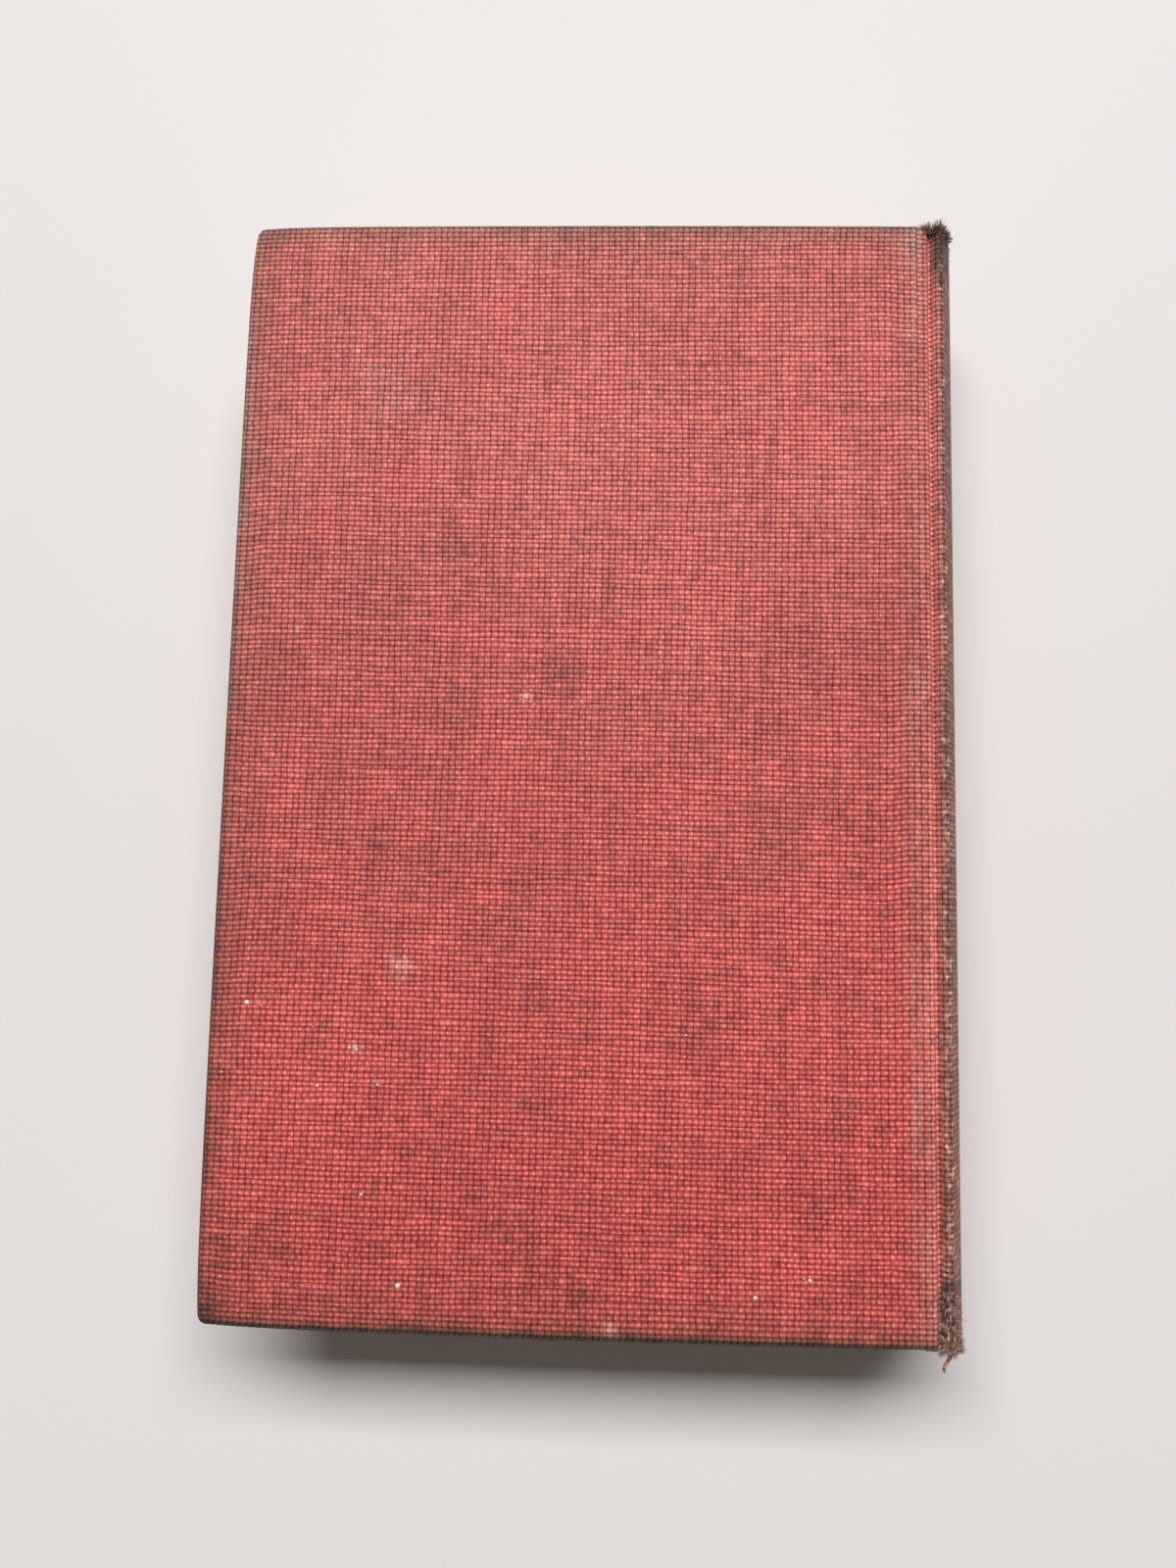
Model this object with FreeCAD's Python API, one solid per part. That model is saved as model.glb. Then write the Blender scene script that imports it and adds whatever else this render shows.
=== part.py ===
import FreeCAD, Part

# A cloth-bound hardback book lying flat, back cover up, spine towards +X and head towards +Y.
# The case (two boards and a card spine under one cloth) holds a sewn, rounded and backed text block.
# The origin is the middle of the book's footprint, on the surface that it lies on. Millimetres.
#
# The two covers swing on the joints beside the spine. The cloth, the mull and the endpapers cross
# those joints, so each of them is a strip on the cover, a strip in the joint and a strip on the block.

import math
import os

# Case
case_height = 190.5
cover_width = 120.0
book_thickness = 30.0
board_thickness = 2.3
cloth_thickness = 0.45
cover_edge_round = 0.8
cover_corner_round = 1.6
turn_in = 14.0
mitre_seam = 0.25

# Joint between a board and the spine
joint_lap = 1.2
groove_depth = 1.9
groove_board_gap = 0.2
groove_floor_radius = 0.35
groove_half_width = 0.55
groove_wall_angle = 24.0
shoulder_radius = 1.0

# Spine of the case
spine_bulge = 3.9
spine_drop = 0.6
card_thickness = 0.5
card_inset_angle = 4.5
spine_turn_in = 12.0
spine_hollow = 0.5

# Text block
square = 3.0
paper_thickness = 0.15
block_clearance = 0.15
shoulder_depth = 1.4
shoulder_bend = 2.5
joint_layer_bend = 1.8
fore_edge_hollow = 3.2
gathering_count = 18
gathering_bulge = 0.12

# Sewing and linings
thread_diameter = 0.4
thread_clearance = 0.02
stitch_rows = 5
stitch_end_distance = 14.0
mull_thickness = 0.2
mull_flange = 25.0
mull_end_gap = 2.0
lining_end_gap = 1.0
layer_gap = 0.02

# Places worked out from the sizes above
half_height = case_height / 2
page_half = half_height - square
middle_depth = book_thickness / 2
groove_reach = groove_board_gap + cloth_thickness + groove_half_width
turn_in_depth = cloth_thickness + board_thickness + cloth_thickness
endpaper_depth = turn_in_depth + paper_thickness
block_top_depth = endpaper_depth + block_clearance
mull_half = half_height - max(turn_in, spine_turn_in) - mull_end_gap
lining_half = half_height - spine_turn_in - lining_end_gap
under_board = cloth_thickness + board_thickness
fold_depth = cloth_thickness + card_thickness + cloth_thickness
tolerance = 1e-6
wall_lean = math.radians(groove_wall_angle)


def plus(a, b):
    """The sum of two vectors of the section."""
    return (a[0] + b[0], a[1] + b[1])


def times(vector, factor):
    """A vector of the section, lengthened."""
    return (vector[0] * factor, vector[1] * factor)


def heading(start, end):
    """The unit vector from one point of the section to another."""
    length = math.hypot(end[0] - start[0], end[1] - start[1])
    return ((end[0] - start[0]) / length, (end[1] - start[1]) / length)


def inward(direction):
    """A quarter turn from a direction of travel towards the inside of the book."""
    return (-direction[1], direction[0])


def crossing(point_a, direction_a, point_b, direction_b):
    """Where two lines of the section cross."""
    turn = direction_a[0] * direction_b[1] - direction_a[1] * direction_b[0]
    apart = (point_b[0] - point_a[0], point_b[1] - point_a[1])
    along = (apart[0] * direction_b[1] - apart[1] * direction_b[0]) / turn
    return plus(point_a, times(direction_a, along))


# The section is drawn as (reach, depth): reach runs from the board's inner edge towards the spine,
# depth down from the book's upper face.
spine_radius = ((middle_depth - spine_drop) ** 2 + spine_bulge**2) / (2 * spine_bulge)
spine_edge_angle = math.asin((middle_depth - spine_drop) / spine_radius)
wall_up = (math.sin(wall_lean), -math.cos(wall_lean))
groove_floor = (groove_reach, groove_depth)

# The shoulder's crest rounds the corner between the groove's wall and the tangent of the spine's curve,
# and its top lies level with the cover. The spine's curve starts a little way down from it.
spine_tangent = (math.sin(spine_edge_angle), math.cos(spine_edge_angle))
crest_centre = crossing(
    plus(groove_floor, times(inward(wall_up), shoulder_radius)), wall_up, (0, shoulder_radius), (1, 0)
)
crest_edge = plus(crest_centre, times(inward(spine_tangent), -shoulder_radius))
crest = crossing(groove_floor, wall_up, crest_edge, spine_tangent)
spine_start = plus(crest, times(spine_tangent, (spine_drop - crest[1]) / spine_tangent[1]))
spine_centre = spine_start[0] - spine_radius * math.cos(spine_edge_angle)
spine_reach = spine_centre + spine_radius

board_edge = (cover_width - spine_reach) / 2


def place(point):
    """A point of the section as a point of the book."""
    return FreeCAD.Vector(board_edge + point[0], 0, book_thickness - point[1])


def line(start, end):
    """A straight edge of the section."""
    return Part.LineSegment(place(start), place(end)).toShape()


def bow(start, middle, end):
    """An arc of the section through three points."""
    return Part.Arc(place(start), place(middle), place(end)).toShape()


def shifted(points, distance):
    """The corners of a path moved sideways, inwards by a positive distance."""
    runs = [heading(a, b) for a, b in zip(points, points[1:])]
    moved = [plus(points[0], times(inward(runs[0]), distance))]
    for corner, before, after in zip(points[1:-1], runs, runs[1:]):
        moved.append(
            crossing(
                plus(corner, times(inward(before), distance)),
                before,
                plus(corner, times(inward(after), distance)),
                after,
            )
        )
    moved.append(plus(points[-1], times(inward(runs[-1]), distance)))
    return moved


def rounded_path(points, radii):
    """Edges along a path whose corners are rounded."""
    edges = []
    last = points[0]
    for before, corner, after, radius in zip(points, points[1:], points[2:], radii):
        back, ahead = heading(corner, before), heading(corner, after)
        half = math.acos(back[0] * ahead[0] + back[1] * ahead[1]) / 2
        run = radius / math.tan(half)
        middle = heading((0, 0), plus(back, ahead))
        start, end = plus(corner, times(back, run)), plus(corner, times(ahead, run))
        peak = plus(corner, times(middle, radius / math.sin(half) - radius))
        edges += [line(last, start), bow(start, peak, end)]
        last = end
    edges.append(line(last, points[-1]))
    return edges


def turns_inward(points):
    """For each corner of a path, 1 where it turns towards the inside of the book, and -1 otherwise."""
    runs = [heading(a, b) for a, b in zip(points, points[1:])]
    return [1 if a[0] * b[1] - a[1] * b[0] > 0 else -1 for a, b in zip(runs, runs[1:])]


def ribbon(points, radii, near, far):
    """The face between two lines that run beside a path, near and far from it, inwards."""
    turns = turns_inward(points)
    sides = [
        (shifted(points, side), [radius - turn * side for radius, turn in zip(radii, turns)])
        for side in (near, far)
    ]
    edges = [edge for side in sides for edge in rounded_path(*side)]
    edges += [line(sides[0][0][end], sides[1][0][end]) for end in (0, -1)]
    return Part.Face(Part.Wire(Part.__sortEdges__(edges)))


def on_circle(centre, radius, angle):
    """A point on a circle about a centre at mid-thickness. A positive angle is above the middle."""
    return (centre + radius * math.cos(angle), middle_depth - radius * math.sin(angle))


def band(centre, outer, inner, half_angle):
    """The face of a curved strip that is the same above and below mid-thickness."""
    edges = [
        bow(*[on_circle(centre, radius, angle) for angle in (half_angle, 0, -half_angle)])
        for radius in (outer, inner)
    ]
    edges += [
        line(on_circle(centre, outer, angle), on_circle(centre, inner, angle))
        for angle in (half_angle, -half_angle)
    ]
    return Part.Face(Part.Wire(Part.__sortEdges__(edges)))


def along_spine(face, start, end):
    """A face of the section drawn out between two places along the spine."""
    moved = face.copy()
    moved.translate(FreeCAD.Vector(0, start, 0))
    return moved.extrude(FreeCAD.Vector(0, end - start, 0))


def slab(reaches, heights, depths):
    """A block between two reaches, two places along the spine and two depths."""
    size = [abs(pair[1] - pair[0]) for pair in (reaches, heights, depths)]
    corner = FreeCAD.Vector(
        board_edge + min(reaches), min(heights), book_thickness - max(depths)
    )
    return Part.makeBox(*size, corner)


def edges_where(shape, test):
    """The edges of a shape whose bounding box passes a test."""
    return [edge for edge in shape.Edges if test(edge.BoundBox)]


def to_front(shape):
    """The same piece at the front cover, which is the back cover's mirror image."""
    return shape.mirror(FreeCAD.Vector(0, 0, middle_depth), FreeCAD.Vector(0, 0, 1))


# Boards and their cloth


def cornered_plate(reaches, heights, depths, corner_round):
    """A plate whose two fore corners are rounded, seen from above."""
    plate = slab(reaches, heights, depths)
    fore = board_edge + min(reaches)
    upright = edges_where(plate, lambda box: box.XMax - fore < tolerance and box.YLength < tolerance)
    return plate.makeFillet(corner_round, upright)


def board():
    """Strawboard of the back cover, cut square at its edges and bare at the joint."""
    return cornered_plate(
        (-cover_width + cloth_thickness, 0),
        (-half_height + cloth_thickness, half_height - cloth_thickness),
        (cloth_thickness, cloth_thickness + board_thickness),
        cover_corner_round - cloth_thickness,
    )


def mitres(depths):
    """The two slanting seams where the turn-ins meet at the fore corners."""
    inner_corner = cover_corner_round + cloth_thickness
    length = (turn_in - inner_corner) * math.sqrt(2) + mitre_seam
    cuts = []
    for end in (1, -1):
        seam = slab((0, length), (-mitre_seam / 2, mitre_seam / 2), depths)
        seam.translate(FreeCAD.Vector(-board_edge, 0, 0))
        seam.rotate(FreeCAD.Vector(0, 0, 0), FreeCAD.Vector(0, 0, 1), -45 * end)
        seam.translate(
            FreeCAD.Vector(
                board_edge - cover_width + inner_corner, end * (half_height - inner_corner), 0
            )
        )
        cuts.append(seam)
    return cuts


def cover_cloth(stiff_board):
    """Cloth over the board, turned in at head, tail and fore edge with mitred corners."""
    joint_side = board_edge - joint_lap
    wrap = cornered_plate(
        (-cover_width, -joint_lap), (-half_height, half_height), (0, turn_in_depth), cover_corner_round
    )
    rims = edges_where(
        wrap, lambda box: box.ZLength < tolerance and box.XMin < joint_side - tolerance
    )
    wrap = wrap.makeFillet(cover_edge_round, rims)
    window = slab(
        (-cover_width + turn_in, 0),
        (-half_height + turn_in, half_height - turn_in),
        (cloth_thickness + board_thickness / 2, turn_in_depth),
    )
    seam_depths = (turn_in_depth - cloth_thickness / 2, turn_in_depth)
    return wrap.cut([stiff_board, window] + mitres(seam_depths))


def cover_mull():
    """The mull's flange, pasted to the inside of the board beside the joint."""
    depths = (under_board, under_board + mull_thickness)
    return slab((-mull_flange, 0), (-mull_half, mull_half), depths)


def pastedown(cloth, flange):
    """The endpaper's pasted half. It lies on the turn-ins and sinks between them to board and mull."""
    rims = (-page_half, page_half)
    sheet = slab((-cover_width + square, 0), rims, (under_board, endpaper_depth))
    inside = half_height - turn_in - paper_thickness
    sunk = slab(
        (-cover_width + turn_in + paper_thickness, -mull_flange - paper_thickness),
        (-inside, inside),
        (under_board + paper_thickness, endpaper_depth),
    )
    sunk_on_mull = slab(
        (-mull_flange - paper_thickness, 0),
        (-inside, inside),
        (under_board + mull_thickness + paper_thickness, endpaper_depth),
    )
    hollows = []
    for end in (1, -1):
        turned = (end * half_height, end * (half_height - turn_in))
        hollows.append(slab((-joint_lap, 0), turned, (under_board, turn_in_depth)))
        past_mull = (end * inside, end * mull_half)
        mull_depths = (under_board, under_board + mull_thickness)
        hollows.append(slab((-mull_flange, 0), past_mull, mull_depths))
    seams = mitres((under_board, turn_in_depth))
    return sheet.cut([cloth, flange, sunk, sunk_on_mull] + hollows + seams)


# Layers that cross the joint


def joint_cloth():
    """The covering cloth from the board, down into the groove and up over the shoulder."""
    board_side = (groove_board_gap + cloth_thickness, 0)
    points = [(-joint_lap, 0), board_side, groove_floor, crest, spine_start]
    radii = [cover_edge_round, groove_floor_radius, shoulder_radius]
    face = ribbon(points, radii, 0, cloth_thickness)
    return along_spine(face, -half_height, half_height)


def wall_line(offset):
    """A point on the line that runs an offset inside the groove's spine wall."""
    return plus(groove_floor, times(inward(wall_up), offset))


def flank(level, offset, start):
    """A path that runs level towards the spine and then up inside the groove's wall."""
    foot = crossing((0, level), (1, 0), wall_line(offset), wall_up)
    rise = (level - shoulder_depth) / math.cos(wall_lean)
    return [(start, level), foot, plus(foot, times(wall_up, rise))]


mull_offset = cloth_thickness + layer_gap
paper_offset = mull_offset + mull_thickness + layer_gap
flyleaf_offset = paper_offset + paper_thickness + layer_gap
block_offset = flyleaf_offset + paper_thickness
paper_level = under_board + mull_thickness + layer_gap


def joint_layer(level, offset, thickness, half_length):
    """A thin strip from the board's inner edge to the shoulder."""
    path = flank(level, offset, layer_gap)
    face = ribbon(path, [joint_layer_bend], 0, thickness)
    return along_spine(face, -half_length, half_length)


def flyleaf():
    """The endpaper's free half, tipped to the block and bent up at the shoulder with it."""
    path = flank(block_top_depth, flyleaf_offset, -cover_width + square)
    face = ribbon(path, [shoulder_bend], 0, paper_thickness)
    return along_spine(face, -page_half, page_half)


# Text block

block_flank = flank(block_top_depth + paper_thickness, block_offset, -cover_width + square)
shoulder_tip = block_flank[-1]
back_half = middle_depth - shoulder_tip[1]
back_bulge = spine_reach - fold_depth - spine_hollow - gathering_bulge - shoulder_tip[0]
back_radius = (back_half**2 + back_bulge**2) / (2 * back_bulge)
back_centre = shoulder_tip[0] + back_bulge - back_radius
back_half_angle = math.asin(back_half / back_radius)
gathering_angle = 2 * back_half_angle / gathering_count


def back_folds():
    """The folds of the gatherings, which show as low ridges along the rounded back."""
    edges = []
    for number in range(gathering_count):
        start = back_half_angle - number * gathering_angle
        edges.append(
            bow(
                on_circle(back_centre, back_radius, start),
                on_circle(back_centre, back_radius + gathering_bulge, start - gathering_angle / 2),
                on_circle(back_centre, back_radius, start - gathering_angle),
            )
        )
    return edges


def stitch_places():
    """The places along the spine where the gatherings are linked by thread."""
    first = -page_half + stitch_end_distance
    step = -2 * first / (stitch_rows - 1)
    return [first + number * step for number in range(stitch_rows)]


def text_block():
    """All the leaves as one solid: shoulders, rounded back, hollow fore edge, kerfs for the sewing."""
    upper = rounded_path(block_flank, [shoulder_bend + paper_thickness])
    below = [(reach, book_thickness - depth) for reach, depth in block_flank]
    lower = rounded_path(below, [shoulder_bend + paper_thickness])
    fore = -cover_width + square
    fore_edge = bow(block_flank[0], (fore + fore_edge_hollow, middle_depth), below[0])
    face = Part.Face(Part.Wire(Part.__sortEdges__(upper + back_folds() + lower + [fore_edge])))
    block = along_spine(face, -page_half, page_half)
    kerf_floor = back_radius - thread_diameter - thread_clearance
    kerf = band(back_centre, back_radius + 2 * gathering_bulge, kerf_floor, back_half_angle)
    half_kerf = thread_diameter / 2 + thread_clearance
    return block.cut([along_spine(kerf, y - half_kerf, y + half_kerf) for y in stitch_places()])


def sewing_thread():
    """The linking threads, pressed flat in the kerfs of the back."""
    half_angle = back_half_angle - gathering_angle / 2
    face = band(back_centre, back_radius, back_radius - thread_diameter, half_angle)
    half_thread = thread_diameter / 2
    return Part.makeCompound(
        [along_spine(face, y - half_thread, y + half_thread) for y in stitch_places()]
    )


def back_layer(gap, thickness, half_length, trim):
    """A lining glued round the back of the block, some way out from its folds."""
    inner = back_radius + gathering_bulge + gap
    face = band(back_centre, inner + thickness, inner, back_half_angle - trim)
    return along_spine(face, -half_length, half_length)


# Spine of the case


def spine_card():
    """The card strip that stiffens the hollow spine."""
    outer = spine_radius - cloth_thickness
    half_angle = spine_edge_angle - math.radians(card_inset_angle)
    end = half_height - cloth_thickness
    return along_spine(band(spine_centre, outer, outer - card_thickness, half_angle), -end, end)


def spine_cloth(card):
    """The covering cloth over the spine, turned in over the card at head and tail."""
    half_angle = spine_edge_angle - math.radians(card_inset_angle)
    outer = spine_radius - cloth_thickness
    over = along_spine(
        band(spine_centre, spine_radius, outer, spine_edge_angle), -half_height, half_height
    )
    fold = band(spine_centre, outer, spine_radius - fold_depth, half_angle)
    folds = [
        along_spine(fold, end * half_height, end * (half_height - spine_turn_in)) for end in (1, -1)
    ]
    return over.fuse(folds).cut(card).removeSplitter()


stiff_board = board()
cloth = cover_cloth(stiff_board)
flange = cover_mull()
card = spine_card()
lining_gap = layer_gap + mull_thickness + layer_gap

cover_pieces = {
    "board": stiff_board,
    "cover_cloth": cloth,
    "mull_flange": flange,
    "pastedown": pastedown(cloth, flange),
    "joint_cloth": joint_cloth(),
    "joint_mull": joint_layer(under_board, mull_offset, mull_thickness, mull_half),
    "joint_endpaper": joint_layer(paper_level, paper_offset, paper_thickness, page_half),
    "flyleaf": flyleaf(),
}
pieces = {
    "text_block": text_block(),
    "sewing_thread": sewing_thread(),
    "spine_mull": back_layer(layer_gap, mull_thickness, mull_half, 0),
    "spine_lining": back_layer(lining_gap, paper_thickness, lining_half, gathering_angle),
    "spine_card": card,
    "spine_cloth": spine_cloth(card),
}
for name, shape in cover_pieces.items():
    pieces["back_" + name] = shape
    pieces["front_" + name] = to_front(shape)

os.makedirs("parts", exist_ok=True)
for name, shape in pieces.items():
    shape.exportStep("parts/" + name + ".step")
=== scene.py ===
import math

import bmesh
import bpy
import numpy as np
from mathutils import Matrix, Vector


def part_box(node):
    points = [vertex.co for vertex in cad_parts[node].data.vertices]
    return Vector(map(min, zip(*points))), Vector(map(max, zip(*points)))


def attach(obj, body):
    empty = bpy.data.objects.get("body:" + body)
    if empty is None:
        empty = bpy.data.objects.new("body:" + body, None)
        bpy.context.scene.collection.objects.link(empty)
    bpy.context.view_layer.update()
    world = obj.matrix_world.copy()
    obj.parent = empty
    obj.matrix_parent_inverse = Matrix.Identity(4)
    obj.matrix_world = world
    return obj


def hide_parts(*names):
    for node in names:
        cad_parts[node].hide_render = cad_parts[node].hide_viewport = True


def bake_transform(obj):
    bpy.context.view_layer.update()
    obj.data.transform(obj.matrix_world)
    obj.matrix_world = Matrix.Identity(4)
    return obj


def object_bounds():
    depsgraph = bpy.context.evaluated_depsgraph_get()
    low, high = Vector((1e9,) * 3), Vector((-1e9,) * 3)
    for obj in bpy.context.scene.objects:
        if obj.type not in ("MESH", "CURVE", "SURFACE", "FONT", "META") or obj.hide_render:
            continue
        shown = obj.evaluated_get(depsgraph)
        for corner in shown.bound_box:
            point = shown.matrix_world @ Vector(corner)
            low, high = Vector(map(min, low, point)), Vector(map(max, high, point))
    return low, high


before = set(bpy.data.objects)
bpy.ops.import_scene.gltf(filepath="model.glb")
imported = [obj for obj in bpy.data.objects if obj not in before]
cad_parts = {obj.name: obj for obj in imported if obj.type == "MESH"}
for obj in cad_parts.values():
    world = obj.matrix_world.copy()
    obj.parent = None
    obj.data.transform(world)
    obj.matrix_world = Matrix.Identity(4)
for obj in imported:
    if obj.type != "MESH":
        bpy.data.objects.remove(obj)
cad_low, cad_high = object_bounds()

# Camera
# It looks almost straight down on the back cover, from a point a little towards the tail.
# Its places and turns are in the book's own frame.
mm = 0.001
camera_place = (6.28, -26.88, 229.01)
camera_turn = (6.2741, 1.9404, 1.2395)
sensor_width = 36.0
focal_length = 27.15

camera_data = bpy.data.cameras.new("camera")
camera_data.sensor_width = sensor_width
camera_data.lens = focal_length
camera_data.clip_start = 0.01
camera = bpy.data.objects.new("camera", camera_data)
camera.location = [value * mm for value in camera_place]
camera.rotation_euler = [math.radians(value) for value in camera_turn]
bpy.context.scene.collection.objects.link(camera)
bpy.context.scene.camera = camera
bpy.context.scene.view_settings.view_transform = "Standard"


def linear(hex_colour):
    """An sRGB hex colour as linear red, green, blue and alpha."""
    values = [int(hex_colour[start : start + 2], 16) / 255 for start in (1, 3, 5)]
    return [v / 12.92 if v <= 0.04045 else ((v + 0.055) / 1.055) ** 2.4 for v in values] + [1.0]


def add(material, kind, inputs=None, **settings):
    """A new node in a material, with its settings, and its inputs set to values or linked to nodes."""
    tree = material.node_tree
    made = tree.nodes.new("ShaderNode" + kind)
    for name, value in settings.items():
        setattr(made, name, value)
    for key, value in (inputs or {}).items():
        if isinstance(value, bpy.types.Node):
            value = value.outputs[0]
        if isinstance(value, bpy.types.NodeSocket):
            tree.links.new(value, made.inputs[key])
        else:
            made.inputs[key].default_value = value
    return made


def new_material(name, roughness, specular, sheen=0.0):
    """A material and its shader, with the gloss that is the same all over it."""
    material = bpy.data.materials.new(name)
    material.use_nodes = True
    shader = material.node_tree.nodes["Principled BSDF"]
    shader.inputs["Roughness"].default_value = roughness
    shader.inputs["Specular IOR Level"].default_value = specular
    shader.inputs["Sheen Weight"].default_value = sheen
    return material, shader


def feed(shader, socket, node):
    """The link from a node's first output to an input of the shader in the same tree."""
    shader.id_data.links.new(node.outputs[0], shader.inputs[socket])


# Table and window
# The book lies on plain pale painted wood. One wide window stands on the head's side, high enough for
# the book to throw a short soft shadow past its tail.
table_size = 6000.0
table_colour = "#EBE6E5"
window_distance = 6000.0
window_width = 5600.0
window_height = 1850.0
window_tilt = 34.5
window_power = 420.0
sky_strength = 0.105
sky_colour = "#FFFAF5"
seen_sky_strength = 0.86

half_table = table_size / 2 * mm
table_corners = [(x * half_table, y * half_table, 0) for x, y in ((-1, -1), (1, -1), (1, 1), (-1, 1))]
table_mesh = bpy.data.meshes.new("table")
table_mesh.from_pydata(table_corners, [], [(0, 1, 2, 3)])
table = bpy.data.objects.new("table", table_mesh)
bpy.context.scene.collection.objects.link(table)
eggshell, eggshell_shader = new_material("eggshell_wood_paint", 0.55, 0.3)
eggshell_shader.inputs["Base Color"].default_value = linear(table_colour)
table_mesh.materials.append(eggshell)

window_data = bpy.data.lights.new("window", "AREA")
window_data.shape = "RECTANGLE"
window_data.size = window_width * mm
window_data.size_y = window_height * mm
window_data.energy = window_power
window = bpy.data.objects.new("window", window_data)
tilt = math.radians(window_tilt)
window.location = (0, window_distance * mm * math.sin(tilt), window_distance * mm * math.cos(tilt))
window.rotation_euler = (-tilt, 0, 0)
bpy.context.scene.collection.objects.link(window)

world = bpy.data.worlds.new("room")
world.use_nodes = True
room = world.node_tree.nodes["Background"]
room.inputs["Color"].default_value = linear(sky_colour)
seen = add(world, "LightPath").outputs["Is Camera Ray"]
strength = add(world, "MapRange", {0: seen, 3: sky_strength, 4: seen_sky_strength})
feed(room, "Strength", strength)
bpy.context.scene.world = world

# Covering cloth
# One sheet of coarse starched cotton, red, glued over both boards and the spine and turned in all round.
# Its threads run with the book: fine warp threads in pairs up the height, a thicker weft across the covers.
cloth_thickness = 0.45
warp_pitch = 0.5555
weft_pitch = 0.879
warp_round = 0.085
weft_round = 0.125
weft_dip = 0.075
thread_rise = 0.016
edge_round = 0.8
turn_in = 14.0

thickness = cad_high.z / mm
half_height = cad_high.y / mm
board_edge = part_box("back_board")[1].x / mm
joint_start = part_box("back_cover_cloth")[1].x / mm
fore_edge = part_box("back_cover_cloth")[0].x / mm
turn_in_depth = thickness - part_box("back_cover_cloth")[0].z / mm
under_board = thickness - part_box("back_board")[0].z / mm


def drift(a, b, cell_a, cell_b, seed):
    """Smooth noise from -1 to 1: random values at the corners of cells, joined by smoothstep inside them."""
    rows, columns = 61, 67
    values = np.random.default_rng(seed).uniform(-1, 1, (rows, columns))
    a, b = np.broadcast_arrays(np.asarray(a, float) / cell_a, np.asarray(b, float) / cell_b)
    i, j = np.floor(a).astype(int), np.floor(b).astype(int)
    p, q = a - i, b - j
    p, q = p * p * (3 - 2 * p), q * q * (3 - 2 * q)
    low = values[i % rows, j % columns] * (1 - p) + values[(i + 1) % rows, j % columns] * p
    high = values[i % rows, (j + 1) % columns] * (1 - p) + values[(i + 1) % rows, (j + 1) % columns] * p
    return low * (1 - q) + high * q


def relief(warp, weft):
    """Depth of the cloth's surface under its crests. A pair of warp threads and a weft thread stand up as
    half rounds, the weft dips into the gap beside each pair, and the higher of the two shows."""
    from_pair = abs(warp % 2 - 1)
    from_weft = abs(2 * (weft % 1) - 1)
    warp_height = warp_round * np.sqrt(1 - from_pair**2)
    weft_height = weft_round * np.sqrt(1 - from_weft**2) - weft_dip * from_pair**4
    return weft_round - np.maximum(warp_height, weft_height)


def smoothly(value, start, end):
    """0 before start, 1 after end, smoothstep between them."""
    t = np.clip((np.asarray(value, float) - start) / (end - start), 0, 1)
    return t * t * (3 - 2 * t)


def fading(distance, strength, length):
    """A full strength at no distance, which dies away over a length."""
    return strength * np.exp(-distance / length)


def finish_mesh(name, points, faces, material, uv=None, uv_name="threads", marks=None, sharp=60.0):
    """A mesh object from points in millimetres, with its UV map and its per-point marks. Faces are turned
    outwards, and edges sharper than an angle stay sharp."""
    mesh = bpy.data.meshes.new(name)
    mesh.from_pydata((np.asarray(points) * mm).tolist(), [], faces)
    shell = bmesh.new()
    shell.from_mesh(mesh)
    bmesh.ops.recalc_face_normals(shell, faces=shell.faces)
    shell.to_mesh(mesh)
    shell.free()
    if uv is not None:
        corners = np.empty(len(mesh.loops), np.int32)
        mesh.loops.foreach_get("vertex_index", corners)
        layer = mesh.uv_layers.new(name=uv_name)
        layer.data.foreach_set("uv", np.asarray(uv, np.float32)[corners].ravel())
    for mark, values in (marks or {}).items():
        attribute = mesh.attributes.new(mark, "FLOAT", "POINT")
        attribute.data.foreach_set("value", np.asarray(values, np.float32))
    mesh.polygons.foreach_set("use_smooth", np.ones(len(mesh.polygons), bool))
    mesh.set_sharp_from_angle(angle=math.radians(sharp))
    mesh.materials.append(material)
    made = bpy.data.objects.new(name, mesh)
    bpy.context.scene.collection.objects.link(made)
    return made


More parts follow.
